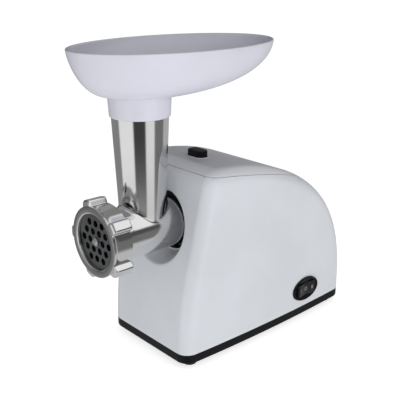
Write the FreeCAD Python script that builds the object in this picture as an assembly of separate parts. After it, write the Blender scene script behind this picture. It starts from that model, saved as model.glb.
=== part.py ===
import FreeCAD, Part
import math
import os
from FreeCAD import Vector as V

# Electric meat grinder, millimetres, +Z up.
# Origin: on the table, under the middle of the whole grinder's box.
# -Y is the front, where the meat comes out; +X is the side with the switch.

# ---- driving dimensions ----
barrel_z = 124.6          # height of the screw's axis above the table
body_y = 32.1             # middle of the body, along Y
body_length = 223.4
body_width = 111.2        # at the corners; the sides bow outwards
side_bow = 3.5
corner_r = 12.5
wall = 2.5
foot_h = 5.0
strip_top = 14.4          # top of the black base
top_z = 180.0             # highest point of the top cover
front_lean = 0.235        # how far the front leans back, mm per mm of height
shin_lean = 0.045         # the same just above the base
knee_reach = 28.0         # length of the bend between the two, each way
crown_power = 2.6         # the back's curve, a superellipse

plate_r = 26.8            # cutting plate, the usual small size, about 54 mm across
plate_t = 4.5
plate_front_y = -131.2
hole_pitch = 9.2
hole_r = 3.1

barrel_r = 23.5
bore_r = 20.5
screw_r = 20.0
ring_y = -50.3            # front face of the black socket ring
flange_y = -45.6          # front face of the barrel's bayonet lugs
flange_t = 3.0
lug_r = 26.2
release_turn = 30.0       # degrees that the head turns to come free

nut_front_y = -134.6
nut_rear_y = -115.4
nut_r = 30.6
nut_mouth_r = 25.0
thread_r = 28.6
nut_lugs = 5

tube_y = -81.0            # axis of the upright feed tube
tube_top_z = 243.0
tube_top_r = 24.9
tube_foot_r = 21.2
tube_wall = 2.2
head_fillet = 5.0         # where the tube meets the barrel

bowl_foot_z = 245.4       # where the tray's bowl meets its collar
rim_z = 285.3
rim_y = -40.7
rim_half_x = 64.5
rim_half_y = 103.1
neck_r = 27.4
tray_wall = 2.2
collar_foot_z = 227.1
throat_r = 22.2

button_y = -15.5
button_half_x = 9.5
button_half_y = 6.0
lever_y = -30.0           # the release lever's pin
lever_z = 167.6
latch_y = -44.2           # the latch pin, in line with the barrel's lugs
latch_r = 1.4

switch_y = 79.4
switch_z = 33.5
switch_half_y = 19.0
switch_half_z = 12.5
switch_front_x = 60.3
rocker_half_y = 12.6
rocker_half_z = 6.6
rocker_x = 54.5           # the rocker's pin
pin_r = 1.2
rocker_tip_x = 62.0

# gear train: teeth and module of each stage, motor end first
stage_teeth = [(10, 50), (12, 48), (12, 48)]
stage_module = [0.7, 1.0, 1.25]
gear_shift = 0.4          # profile shift that lets so few teeth run on the pinions
gear_backlash = 0.16
motor_x = 0.0
motor_z = 62.0
first_x = 14.0            # sideways place of the first wheel's axle
axle_r = 3.0
running = 0.05            # radial clearance of a running fit

case_front_y = -39.3
case_rear_y = -8.0
case_half_x = 42.0
case_foot_z = 50.0
case_top_z = 159.4
hub_front_y = -42.0       # front end of the output wheel's hub

stator_y = (22.0, 62.0)
rotor_r = 19.0
shaft_r = 2.5
commutator_r = 11.0
coil_in_r = 20.2
coil_out_r = 26.0
bracket_y = (case_rear_y + 0.2, stator_y[1] + 32.4)    # outer faces of the motor's brackets
bearing_w = 5.0
brush_y = (75.0, 83.6)    # the brush holders, along Y
cushion_foot_z = 27.0     # top of the base's posts under the motor

inlet_x = -20.0
inlet_z = 32.0
inlet_r = 6.5
base_screw_xy = [(x, body_y + y) for x in (-40, 40) for y in (-84, 84)]
foot_xy = [(x, body_y + y) for x in (-44, 44) for y in (-97, 95)]
motor_post_xz = [(x, motor_z + z) for x in (-26, 26) for z in (-23, 23)]
case_screw_xz = [(x, z) for x in (-37.5, 37.5) for z in (54.5, 154.9)]

Y_AXIS = V(0, 1, 0)


# ---- small helpers ----
def cyl_y(r, y0, y1, x=0.0, z=barrel_z):
    return Part.makeCylinder(r, y1 - y0, V(x, y0, z), Y_AXIS)


def cyl_x(r, x0, x1, y, z):
    return Part.makeCylinder(r, x1 - x0, V(x0, y, z), V(1, 0, 0))


def cyl_z(r, z0, z1, x, y):
    return Part.makeCylinder(r, z1 - z0, V(x, y, z0))


def cone_y(r0, r1, y0, y1, x=0.0, z=barrel_z):
    return Part.makeCone(r0, r1, y1 - y0, V(x, y0, z), Y_AXIS)


def box(x0, x1, y0, y1, z0, z1):
    return Part.makeBox(x1 - x0, y1 - y0, z1 - z0, V(x0, y0, z0))


def join(shapes):
    """One solid from several that overlap."""
    out = shapes[0]
    for shape in shapes[1:]:
        out = out.fuse(shape)
    return out.removeSplitter()


def group(shapes):
    """Separate solids kept in one node."""
    return Part.makeCompound(shapes)


def cut_all(shape, tools):
    for tool in tools:
        shape = shape.cut(tool)
    return shape


def polar(r, degrees, y, x=0.0, z=barrel_z):
    """A point at an angle measured from +X towards +Z."""
    a = math.radians(degrees)
    return V(x + r * math.cos(a), y, z + r * math.sin(a))


def sector_y(r_in, r_out, a0, a1, y0, y1, x=0.0, z=barrel_z):
    """A piece of a ring between two angles, extruded along Y."""
    mid = (a0 + a1) / 2
    edges = [
        Part.Arc(polar(r_out, a0, y0, x, z), polar(r_out, mid, y0, x, z),
                 polar(r_out, a1, y0, x, z)).toShape(),
        Part.LineSegment(polar(r_out, a1, y0, x, z), polar(r_in, a1, y0, x, z)).toShape(),
        Part.Arc(polar(r_in, a1, y0, x, z), polar(r_in, mid, y0, x, z),
                 polar(r_in, a0, y0, x, z)).toShape(),
        Part.LineSegment(polar(r_in, a0, y0, x, z), polar(r_out, a0, y0, x, z)).toShape(),
    ]
    return Part.Face(Part.Wire(edges)).extrude(V(0, y1 - y0, 0))


def revolve_y(points, x=0.0, z=barrel_z):
    """Solid of revolution about the barrel's axis, from (radius, y) points."""
    wire = Part.makePolygon([V(x + r, y, z) for r, y in points + points[:1]])
    return Part.Face(wire).revolve(V(x, 0, z), Y_AXIS, 360)


def rounded_rect(half_x, half_y, r, centre):
    """Closed wire of a rounded rectangle in the XY plane, centred on a point."""
    cx, cy, cz = centre
    k = r * (1 - math.sqrt(0.5))
    right, left = cx + half_x, cx - half_x
    back, front = cy + half_y, cy - half_y
    corners = [
        (V(right - r, front, cz), V(right - k, front + k, cz), V(right, front + r, cz)),
        (V(right, back - r, cz), V(right - k, back - k, cz), V(right - r, back, cz)),
        (V(left + r, back, cz), V(left + k, back - k, cz), V(left, back - r, cz)),
        (V(left, front + r, cz), V(left + k, front + k, cz), V(left + r, front, cz)),
    ]
    edges = []
    for i, (start, mid, end) in enumerate(corners):
        edges.append(Part.Arc(start, mid, end).toShape())
        edges.append(Part.LineSegment(end, corners[(i + 1) % 4][0]).toShape())
    return Part.Wire(edges)


def rounded_box(half_x, half_y, r, centre, height):
    return Part.Face(rounded_rect(half_x, half_y, r, centre)).extrude(V(0, 0, height))


def export(name, shape):
    shape.exportStep(os.path.join("parts", name + ".step"))


# ---- body outline ----
def plan_prism(inset, z0, z1):
    """Plan of the body: two bowed sides and two straight ends, corners still square."""
    hx = body_width / 2 - inset
    hy = body_length / 2 - inset
    corners = [V(hx, body_y - hy, z0), V(hx, body_y + hy, z0), V(-hx, body_y + hy, z0), V(-hx, body_y - hy, z0)]
    bow = V(side_bow, 0, 0)
    edges = [
        Part.Arc(corners[0], V(hx, body_y, z0) + bow, corners[1]).toShape(),
        Part.LineSegment(corners[1], corners[2]).toShape(),
        Part.Arc(corners[2], V(-hx, body_y, z0) - bow, corners[3]).toShape(),
        Part.LineSegment(corners[3], corners[0]).toShape(),
    ]
    return Part.Face(Part.Wire(edges)).extrude(V(0, 0, z1 - z0))


def front_y_at(z):
    """Where the leaning front face is at a height."""
    return body_y - body_length / 2 + 17.3 + front_lean * (z - barrel_z)


def tangent_arc(start, corner, end):
    """Arc that rounds off a corner between two points equally far from it."""
    reach = (start - corner).Length
    half_turn = (corner - start).getAngle(end - corner) / 2
    r = reach / math.tan(half_turn)
    inward = ((start + end) * 0.5 - corner).normalize()
    middle = corner + inward * (math.hypot(r, reach) - r)
    return Part.Arc(start, middle, end).toShape()


def side_profile(inset):
    """Side view of the body: near-upright shin, leaning front, crown that curves into the back."""
    front = body_y - body_length / 2 + inset
    top = top_z - inset
    nose_r = 16.0 - inset
    ankle = V(0, front, strip_top)
    up_shin = V(0, shin_lean, 1).normalize()
    up_front = V(0, front_lean, 1).normalize()
    knee_rise = (front_y_at(strip_top) + inset - front) / (shin_lean - front_lean)
    knee = ankle + V(0, shin_lean, 1) * knee_rise
    corner = V(0, front_y_at(top) + inset, top)
    reach = nose_r * math.tan(up_front.getAngle(Y_AXIS) / 2)
    nose_start = corner - up_front * reach
    nose_end = corner + Y_AXIS * reach
    knee_start = knee - up_shin * knee_reach
    knee_end = knee + up_front * knee_reach
    half_length = body_y + body_length / 2 - inset - nose_end.y
    height = top - strip_top
    crown = []
    for i in range(13):
        t = math.radians(90 * i / 12)
        crown.append(V(0, nose_end.y + half_length * math.sin(t),
                       strip_top + height * math.cos(t) ** (2 / crown_power)))
    curve = Part.BSplineCurve()
    curve.interpolate(crown)
    foot = V(0, front, 0)
    heel = V(0, crown[-1].y, 0)
    edges = [
        Part.LineSegment(foot, ankle).toShape(),
        Part.LineSegment(ankle, knee_start).toShape(),
        tangent_arc(knee_start, knee, knee_end),
        Part.LineSegment(knee_end, nose_start).toShape(),
        tangent_arc(nose_start, corner, nose_end),
        curve.toShape(),
        Part.LineSegment(crown[-1], heel).toShape(),
        Part.LineSegment(heel, foot).toShape(),
    ]
    face = Part.Face(Part.Wire(edges))
    face.translate(V(-80, 0, 0))
    return face.extrude(V(160, 0, 0))


def body_form(inset):
    """Outer form of the body, smaller by an inset, rounded all along its side edges."""
    form = side_profile(inset).common(plan_prism(inset, 0, top_z + 10))
    edges = []
    for edge in form.Edges:
        middle = edge.CenterOfMass
        if abs(middle.x) > body_width / 2 - 6 and middle.z > 1:
            edges.append(edge)
    return form.makeFillet(corner_r - inset, edges)


body_outer = body_form(0.0)
body_inner = body_form(wall)


def below_seam(drop):
    """Everything under the curved joint between the cover and the body."""
    seam = Part.Arc(V(-80, -60, 177 - drop), V(-80, 14.2, 168.3 - drop), V(-80, 70.5, 154.8 - drop)).toShape()
    end = V(-80, 76, 156.5 - drop)
    outline = [
        Part.LineSegment(seam.Vertexes[1].Point, end).toShape(),
        Part.LineSegment(end, V(-80, 76, 200)).toShape(),
        Part.LineSegment(V(-80, 76, 200), V(-80, 160, 200)).toShape(),
        Part.LineSegment(V(-80, 160, 200), V(-80, 160, -5)).toShape(),
        Part.LineSegment(V(-80, 160, -5), V(-80, -100, -5)).toShape(),
        Part.LineSegment(V(-80, -100, -5), V(-80, -100, 177 - drop)).toShape(),
        Part.LineSegment(V(-80, -100, 177 - drop), seam.Vertexes[0].Point).toShape(),
    ]
    return Part.Face(Part.Wire([seam] + outline)).extrude(V(160, 0, 0))


# ---- body ----
dish_lip_r = 37.0
dish_floor_r = 29.4
dish_floor_y = ring_y + 0.8


def dish(extra):
    """The round hollow in the front that the barrel comes out of."""
    return revolve_y([(0, dish_floor_y + extra), (dish_floor_r + extra, dish_floor_y + extra),
                      (dish_lip_r - 1.5 + extra, -66), (dish_lip_r + 6 + extra, -90), (0, -90)])


def housing_shell():
    shell = body_outer.cut(body_inner)
    bowl = dish(wall).common(body_outer)
    shell = shell.fuse(bowl).cut(dish(0.0))
    shell = shell.cut(cyl_y(27.6, -60, -40))
    shell = shell.common(below_seam(0.3))
    shell = shell.cut(box(-80, 80, -110, 170, -1, strip_top))
    for x, y in base_screw_xy:
        post = cyl_z(5.0, strip_top + 0.2, 62, x, y).common(body_outer)
        web = box(min(x, 56 * x / 40), max(x, 56 * x / 40), y - 1, y + 1, strip_top + 0.2, 60).common(body_outer)
        shell = shell.fuse(post).fuse(web).cut(cyl_z(1.6, strip_top - 1, 34, x, y))
    shell = shell.cut(oval_x(-1.7, 48, 62))
    shell = shell.cut(cyl_y(inlet_r, 120, 150, inlet_x, inlet_z))
    return shell.removeSplitter()


def top_cover():
    lid = body_outer.cut(below_seam(0.0))
    lid = lid.cut(body_inner)
    for x in (-49.0, 47.0):
        for y in (-28, 22):
            lid = lid.fuse(box(x, x + 2, y - 4, y + 4, 160, 185).common(body_outer))
    rim = rounded_box(button_half_x + 1.6, button_half_y + 1.6, 5.4, (0, button_y, 170), 9.6)
    lid = lid.fuse(rim.cut(body_inner))
    lid = lid.cut(rounded_box(button_half_x + 0.4, button_half_y + 0.4, 4.4, (0, button_y, 160), 30))
    return lid.removeSplitter()


def base_plate():
    """Black tray under the body: floor with air slots, rim flush with the body."""
    tray = body_outer.common(box(-80, 80, -110, 170, foot_h, strip_top))
    tray = tray.makeFillet(2.0, [e for e in tray.Edges if e.BoundBox.ZMax < foot_h + 0.1])
    tray = tray.cut(body_form(3.0).common(box(-80, 80, -110, 170, foot_h + 2.6, strip_top + 1)))
    for x, y in base_screw_xy:
        tray = tray.fuse(cyl_z(5.0, foot_h, strip_top, x, y))
        tray = tray.cut(cyl_z(2.0, foot_h - 1, strip_top + 1, x, y))
        tray = tray.cut(cyl_z(3.8, foot_h - 1, foot_h + 3.4, x, y))
    for x, y in foot_xy:
        tray = tray.cut(cyl_z(3.0, foot_h - 1, foot_h + 4, x, y))
    for i in range(9):
        slot = rounded_box(22, 1.6, 1.5, (0, 60 + 6.4 * i, foot_h - 1), 6)
        tray = tray.cut(slot)
    for x in (-22, 22):
        for y in (24, 62):
            tray = tray.fuse(box(x - 5, x + 5, y - 4, y + 4, foot_h + 1, cushion_foot_z))
    for x in (-30, 30):
        tray = tray.fuse(box(x - 6, x + 6, -30, -18, foot_h + 1, case_foot_z - 0.1))
    return tray.removeSplitter()


def rubber_feet():
    feet = []
    for x, y in foot_xy:
        pad = Part.makeCone(6.6, 8.0, foot_h - 0.05, V(x, y, 0))
        pad = pad.makeFillet(1.2, [e for e in pad.Edges if e.BoundBox.ZMax < 0.1])
        feet.append(pad.fuse(cyl_z(2.9, foot_h - 0.1, foot_h + 5.0, x, y)).removeSplitter())
    return group(feet)


def base_screws():
    screws = []
    for x, y in base_screw_xy:
        head = cyl_z(3.4, foot_h + 0.8, foot_h + 3.3, x, y)
        shank = cyl_z(1.55, foot_h + 3.2, 32, x, y)
        cross = box(x - 2, x + 2, y - 0.5, y + 0.5, foot_h, foot_h + 2.2)
        screws.append(head.fuse(shank).cut(cross))
    return group(screws)


# ---- switch ----
def oval_x(grow, x0, x1):
    """Oval prism through the +X wall, at the switch."""
    ellipse = Part.Ellipse(V(0, 0, 0), switch_half_y + grow, switch_half_z + grow)
    face = Part.Face(Part.Wire(ellipse.toShape()))
    face.rotate(V(0, 0, 0), V(0, 0, 1), 90)
    face.rotate(V(0, 0, 0), V(0, 1, 0), 90)
    face.translate(V(x0, switch_y, switch_z))
    return face.extrude(V(x1 - x0, 0, 0))


def switch_bezel():
    """Oval frame against the bulging side, with a neck through the wall that carries the rocker's pin."""
    frame = oval_x(0.0, 56.5, switch_front_x)
    frame = frame.makeFillet(1.2, [e for e in frame.Edges if e.CenterOfMass.x > switch_front_x - 0.1])
    bezel = frame.cut(body_outer).fuse(oval_x(-2.0, 50.5, switch_front_x - 1))
    half_y = rocker_half_y + 0.6
    half_z = rocker_half_z + 0.4
    window = box(40, 70, switch_y - half_y, switch_y + half_y, switch_z - half_z, switch_z + half_z)
    return bezel.cut(window).cut(rocker_pin()).removeSplitter()


def rocker_switch():
    """Three-position rocker: both ends stand proud, the middle dips."""
    tip_y = rocker_half_y - 1.0
    outline = [(52.0, -8.0), (57.0, -rocker_half_y), (rocker_tip_x, -tip_y), (rocker_tip_x - 2.6, 0.0),
               (rocker_tip_x, tip_y), (57.0, rocker_half_y), (52.0, 8.0)]
    foot = switch_z - rocker_half_z
    wire = Part.makePolygon([V(x, switch_y + y, foot) for x, y in outline + outline[:1]])
    rocker = Part.Face(wire).extrude(V(0, 0, 2 * rocker_half_z))
    ends = [e for e in rocker.Edges if abs(e.tangentAt(e.FirstParameter).z) > 0.9 and e.CenterOfMass.x > 56]
    rocker = rocker.makeFillet(0.9, ends)
    return rocker.cut(cyl_z(pin_r + running, 0, 100, rocker_x, switch_y))


def rocker_pin():
    return cyl_z(pin_r, switch_z - 9.2, switch_z + 9.2, rocker_x, switch_y)


def switch_body():
    """Switch block behind the panel."""
    block = box(33, 50.3, switch_y - 14, switch_y + 14, switch_z - 8.6, switch_z + 8.6)
    return block.makeFillet(1.0, [e for e in block.Edges if abs(e.tangentAt(e.FirstParameter).x) > 0.9])


def switch_terminals():
    blades = []
    for y in (-9, 0, 9):
        blades.append(box(25.4, 33, switch_y + y - 2.4, switch_y + y + 2.4, switch_z - 0.4, switch_z + 0.4))
    return group(blades)


# ---- head ----
def head_socket():
    """Black bayonet socket: slim ring at the front, wide flange inside the body."""
    flange_front = dish_floor_y + wall + 0.2
    flange_back = case_front_y - 3.2
    body = revolve_y([(24.1, ring_y), (26.8, ring_y), (27.2, ring_y + 0.4), (27.2, flange_front),
                      (31.5, flange_front), (31.5, flange_back), (24.1, flange_back)])
    groove_r = lug_r + 0.3
    body = body.cut(revolve_y([(20, flange_y - 0.3), (groove_r, flange_y - 0.3), (groove_r, -40), (20, -40)]))
    for angle in (90 + release_turn, 270 + release_turn):
        body = body.cut(sector_y(20, groove_r, angle - 15, angle + 15, ring_y - 2, flange_y))
    return body.cut(cyl_z(latch_r + running, 140, 170, 0, latch_y))


def tube_cone(inset):
    """Feed tube as a slim cone from the barrel's axis up to its straight top."""
    rise = collar_foot_z - barrel_z
    taper = (tube_top_r - tube_foot_r) / (rise - barrel_r)
    cone = Part.makeCone(tube_top_r - taper * rise - inset, tube_top_r - inset, rise, V(0, tube_y, barrel_z))
    return cone


def grinder_head():
    """Cast head: barrel, threaded front collar, feed tube and two bayonet lugs."""
    barrel_end = flange_y + flange_t
    head = cyl_y(barrel_r, -118, barrel_end).fuse(tube_cone(0)).removeSplitter()
    head = head.makeFillet(head_fillet, [e for e in head.Edges if isinstance(e.Curve, Part.BSplineCurve)])
    head = head.fuse(cyl_z(tube_top_r, collar_foot_z, tube_top_z, 0, tube_y))
    head = head.fuse(cyl_y(thread_r, -130.0, -119.4)).fuse(cone_y(thread_r, barrel_r, -119.4, -115.8))
    for angle in (90, 270):
        head = head.fuse(sector_y(barrel_r - 2, lug_r, angle - 13, angle + 13, flange_y, barrel_end))
    head = head.cut(cyl_y(bore_r, -140, -51.5)).cut(cyl_y(12.0, -60, -40))
    head = head.cut(cyl_y(24.9, -140, -121.6)).cut(cyl_y(plate_r + 0.3, -140, plate_front_y + plate_t))
    inner = tube_cone(tube_wall).fuse(cyl_z(tube_top_r - tube_wall, collar_foot_z, tube_top_z + 5, 0, tube_y))
    head = head.cut(inner.cut(box(-60, 60, -150, 0, 50, barrel_z)))
    head = head.cut(sector_y(lug_r - 2.2, lug_r + 2, 85 - release_turn, 95, flange_y - 1, barrel_end + 1))
    key = cyl_y(1.5, plate_front_y + 1.4, plate_front_y + plate_t, 0, barrel_z - plate_r)
    return head.fuse(key).removeSplitter()


def screw_bush():
    """Plastic bush between the screw's neck and the barrel's rear wall."""
    bush = cyl_y(12.0, -52.0, flange_y + flange_t - 0.2).fuse(cyl_y(15.0, -53.2, -51.5))
    return bush.cut(cyl_y(8.0 + running, -60, -30)).removeSplitter()


def feed_screw():
    """Feed screw: one helical flight, square tail for the drive, square and pin for knife and plate."""
    core = cone_y(9.5, 12.5, -120.5, -56).fuse(cyl_y(12.5, -56.1, -53.6))
    core = core.fuse(cyl_y(8.0, -53.7, hub_front_y - 0.4))
    core = core.fuse(box(-4.4, 4.4, hub_front_y - 0.5, -30.5, barrel_z - 4.4, barrel_z + 4.4))
    core = core.fuse(box(-5.0, 5.0, -126.4, -120.4, barrel_z - 5.0, barrel_z + 5.0))
    core = core.fuse(cyl_y(3.9, -132.6, -126.3)).fuse(cone_y(2.2, 3.9, -134.0, -132.6))
    steps_per_turn = 18
    pitch = 21.0
    turns = 2.85
    count = int(turns * steps_per_turn)
    sections = []
    for i in range(count + 1):
        angle = 360.0 * i / steps_per_turn
        y = -118.6 + pitch * i / steps_per_turn
        half = 2.0
        tip = screw_r
        root = 8.0
        corners = [polar(root, angle, y - half), polar(tip, angle, y - half * 0.7),
                   polar(tip, angle, y + half * 0.7), polar(root, angle, y + half)]
        sections.append(Part.makePolygon(corners + corners[:1]))
    flight = Part.makeLoft(sections, True, True)
    return core.fuse(flight)


def cross_knife():
    hub = cyl_y(9.0, -126.4, -121.9)
    knife = hub
    for k in range(4):
        angle = 90 * k + 20
        blade = Part.makePolygon([polar(5, angle - 50, -126.4), polar(24.2, angle - 3, -126.4),
                                  polar(24.2, angle + 9, -126.4), polar(5, angle + 60, -126.4),
                                  polar(5, angle - 50, -126.4)])
        knife = knife.fuse(Part.Face(blade).extrude(V(0, 3.2, 0)))
    return knife.cut(box(-5.05, 5.05, -130, -120, barrel_z - 5.05, barrel_z + 5.05)).removeSplitter()


def cutting_plate():
    plate = cyl_y(plate_r, plate_front_y, plate_front_y + plate_t)
    holes = []
    for row in range(-2, 3):
        z = row * hole_pitch * math.sqrt(3) / 2
        for k in range(5 - abs(row)):
            x = (k - (4 - abs(row)) / 2) * hole_pitch
            r = 4.0 if row == 0 and k == 2 else hole_r
            holes.append(cyl_y(r, plate_front_y - 1, plate_front_y + plate_t + 1, x, barrel_z + z))
    notch = cyl_y(1.7, plate_front_y - 1, plate_front_y + plate_t + 1, 0, barrel_z - plate_r)
    return cut_all(plate, holes + [notch])


def ring_nut():
    nut = cyl_y(nut_r, nut_front_y, nut_rear_y)
    rim = revolve_y([(20, nut_front_y), (31.0, nut_front_y), (31.6, nut_front_y + 0.6),
                     (31.6, nut_front_y + 2.4), (30.0, nut_front_y + 3.4), (20, nut_front_y + 3.4)])
    nut = nut.fuse(rim)
    for k in range(nut_lugs):
        lug = box(28, 36.8, nut_front_y + 1.0, nut_rear_y + 0.4, -5.2, 5.2)
        lug = lug.makeFillet(1.6, [e for e in lug.Edges if e.CenterOfMass.x > 36])
        lug.rotate(V(0, 0, 0), Y_AXIS, -(36 + 360.0 * k / nut_lugs))
        lug.translate(V(0, 0, barrel_z))
        nut = nut.fuse(lug)
    nut = nut.cut(revolve_y([(0, nut_front_y - 1), (nut_mouth_r + 1.8, nut_front_y - 1),
                             (nut_mouth_r, nut_front_y + 0.8), (nut_mouth_r, plate_front_y - 0.3),
                             (thread_r + 0.35, plate_front_y - 0.3), (thread_r + 0.35, nut_rear_y + 1),
                             (0, nut_rear_y + 1)]))
    return nut.removeSplitter()


# ---- hopper tray ----
def bowl_section(v, inset):
    """Ellipse of the bowl at a fraction of its height; front deep and round, rear shallow."""
    def spread(p, q):
        return (1 - (1 - v) ** p) ** (1 / q)
    front = tube_y - neck_r + (rim_y - rim_half_y - tube_y + neck_r) * spread(1.5, 2.25)
    rear = tube_y + neck_r + (rim_y + rim_half_y - tube_y - neck_r) * spread(2.15, 2.55)
    half_x = neck_r + (rim_half_x - neck_r) * spread(1.4, 2.05)
    half_y = (rear - front) / 2
    z = bowl_foot_z + (rim_z - bowl_foot_z) * v
    ellipse = Part.Ellipse(V(0, 0, 0), half_y - inset, half_x - inset)
    wire = Part.Wire(ellipse.toShape())
    wire.rotate(V(0, 0, 0), V(0, 0, 1), 90)
    wire.translate(V(0, (rear + front) / 2, z))
    return wire


def bowl_solid(inset, lift):
    steps = [0.0, 0.012, 0.05, 0.12, 0.23, 0.38, 0.56, 0.78, 1.0]
    wires = [bowl_section(v, inset) for v in steps]
    for wire in wires:
        wire.translate(V(0, 0, lift))
    return Part.makeLoft(wires, True, False)


def hopper_tray():
    tray = bowl_solid(0.0, 0.0)
    collar = Part.makeCone(26.4, neck_r, bowl_foot_z - collar_foot_z + 0.6, V(0, tube_y, collar_foot_z))
    tray = tray.fuse(collar)
    cavity = bowl_solid(tray_wall, tray_wall)
    tray = tray.cut(cavity.common(box(-90, 90, -200, 90, 0, rim_z + 5)))
    tray = tray.cut(cyl_z(throat_r, 200, rim_z, 0, tube_y))
    return tray.cut(cyl_z(tube_top_r + 0.4, 200, tube_top_z + 0.3, 0, tube_y)).removeSplitter()


# ---- release mechanism ----
def release_button():
    foot = 171.6
    cap = rounded_box(button_half_x, button_half_y, 4.0, (0, button_y, foot), 14.6)
    cap = cap.makeFillet(1.2, [e for e in cap.Edges if e.CenterOfMass.z > foot + 14])
    flange = rounded_box(button_half_x + 2, button_half_y + 2, 5, (0, button_y, foot), 1.6)
    stem = cyl_z(2.2, lever_z + 2.2, foot + 0.5, 0, button_y)
    return join([cap, flange, stem])


def coil_spring(r, wire_r, turns, foot, height):
    """Helical spring along Z with its lowest point at a foot."""
    rise = height - 2 * wire_r
    helix = Part.makeHelix(rise / turns, rise, r)
    section = Part.Wire(Part.Circle(V(r, 0, 0), V(0, 1, 0), wire_r).toShape())
    spring = Part.Wire(helix).makePipeShell([section], True, True)
    spring.translate(foot + V(0, 0, wire_r))
    return spring


def button_spring():
    """Spring between the gearbox and the lever, under the button."""
    return coil_spring(2.6, 0.35, 4, V(0, button_y, case_top_z + 0.05), lever_z - 1.4 - case_top_z)


def latch_lever():
    """Rocking lever: the button presses one end down, the other lifts the latch."""
    arm = box(-3.4, 3.4, latch_y - 2.6, button_y + 4, lever_z - 1.3, lever_z + 1.3)
    boss = cyl_x(3.0, -3.4, 3.4, lever_y, lever_z)
    slot = box(-latch_r - 0.5, latch_r + 0.5, latch_y - 5, latch_y + 2.4, 150, 190)
    return arm.fuse(boss).cut(slot).cut(cyl_x(1.5 + running, -10, 10, lever_y, lever_z)).removeSplitter()


def latch_pivot():
    return cyl_x(1.5, -8.0, 8.0, lever_y, lever_z)


def latch_pin():
    """Pin that drops into the lug's groove; its collar rests on the lever's fork."""
    pin = cyl_z(latch_r, barrel_z + lug_r - 1.9, lever_z + 2.85, 0, latch_y)
    return pin.fuse(cyl_z(2.4, lever_z + 1.85, lever_z + 2.85, 0, latch_y)).removeSplitter()


# ---- gears ----
def involute(angle):
    return math.tan(angle) - angle


def gear(teeth, module, shift, tooth_at, x, z, y0, y1):
    """Spur gear with involute flanks; a tooth points at the given angle."""
    pressure = math.radians(20)
    pitch_r = module * teeth / 2
    base_r = pitch_r * math.cos(pressure)
    tip_r = pitch_r + module * (0.9 + shift)
    root_r = pitch_r - module * (1.25 - shift)
    half_at_pitch = (math.pi / 2 + 2 * shift * math.tan(pressure)) / teeth - gear_backlash / (2 * pitch_r)

    def half_angle(r):
        r = max(r, base_r)
        return half_at_pitch + involute(pressure) - involute(math.acos(base_r / r))

    radii = [root_r, max(base_r, root_r), (max(base_r, root_r) + pitch_r) / 2, pitch_r,
             (pitch_r + tip_r) / 2, tip_r]
    points = []
    for k in range(teeth):
        middle = math.radians(tooth_at) + 2 * math.pi * k / teeth
        for r in radii:
            a = middle - half_angle(r)
            points.append(V(x + r * math.cos(a), y0, z + r * math.sin(a)))
        for r in reversed(radii):
            a = middle + half_angle(r)
            points.append(V(x + r * math.cos(a), y0, z + r * math.sin(a)))
    clean = [points[0]]
    for point in points[1:]:
        if (point - clean[-1]).Length > 0.01:
            clean.append(point)
    return Part.Face(Part.makePolygon(clean + clean[:1])).extrude(V(0, y1 - y0, 0))


def third_corner(a, b, from_a, from_b):
    """Point at given distances from two others, on the left of the line a to b."""
    dx, dz = b[0] - a[0], b[1] - a[1]
    span = math.hypot(dx, dz)
    along = (from_a ** 2 - from_b ** 2 + span ** 2) / (2 * span)
    off = math.sqrt(from_a ** 2 - along ** 2)
    return (a[0] + (dx * along - dz * off) / span, a[1] + (dz * along + dx * off) / span)


def centre_distance(stage):
    return stage_module[stage] * sum(stage_teeth[stage]) / 2


motor_xz = (motor_x, motor_z)
output_xz = (0.0, barrel_z)
first_xz = (first_x, motor_z + math.sqrt(centre_distance(0) ** 2 - (first_x - motor_x) ** 2))
second_xz = third_corner(first_xz, output_xz, centre_distance(1), centre_distance(2))


def heading(a, b):
    """Angle of the line from a to b, from +X towards +Z."""
    return math.degrees(math.atan2(b[1] - a[1], b[0] - a[0]))


def wheel(stage, centre, mate, y0, y1):
    teeth = stage_teeth[stage][1]
    return gear(teeth, stage_module[stage], -gear_shift, heading(centre, mate), centre[0], centre[1], y0, y1)


def pinion(stage, centre, mate, y0, y1):
    teeth = stage_teeth[stage][0]
    return gear(teeth, stage_module[stage], gear_shift, heading(centre, mate) + 180.0 / teeth,
                centre[0], centre[1], y0, y1)


def output_gear():
    """Last wheel, with the square socket that the feed screw's tail slides into."""
    blank = wheel(2, output_xz, second_xz, -36, -26)
    blank = blank.fuse(cyl_y(9.0, hub_front_y, -25.5)).fuse(cyl_y(5.0, -25.6, case_rear_y - 1.7))
    return blank.cut(box(-4.5, 4.5, -50, -30, barrel_z - 4.5, barrel_z + 4.5)).removeSplitter()


def cluster(stage, centre, small_mate, small_y, big_mate, big_y):
    """Wheel and pinion in one piece, turning on a fixed axle."""
    small = pinion(stage + 1, centre, small_mate, small_y[0], small_y[1])
    big = wheel(stage, centre, big_mate, big_y[0], big_y[1])
    y0, y1 = min(small_y[0], big_y[0]), max(small_y[1], big_y[1])
    hub = cyl_y(axle_r + 1.6, y0 - 0.5, y1 + 0.5, centre[0], centre[1])
    bore = cyl_y(axle_r + running, y0 - 2, y1 + 2, centre[0], centre[1])
    return small.fuse(big).fuse(hub).cut(bore).removeSplitter()


def second_gear():
    return cluster(1, second_xz, output_xz, (-36.5, -25.5), first_xz, (-24.5, -18.5))


def first_gear():
    return cluster(0, first_xz, second_xz, (-25.0, -18.0), motor_xz, (-17.0, -12.0))


def gear_axles():
    axles = []
    for x, z in (first_xz, second_xz):
        axles.append(cyl_y(axle_r, case_front_y - 2.0, case_rear_y - 0.5, x, z))
    return group(axles)


def case_outline(inset):
    outline = rounded_rect(case_half_x - inset, (case_top_z - case_foot_z) / 2 - inset, 8 - inset,
                           (0, (case_top_z + case_foot_z) / 2, 0))
    outline.rotate(V(0, 0, 0), V(1, 0, 0), 90)
    return outline


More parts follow.
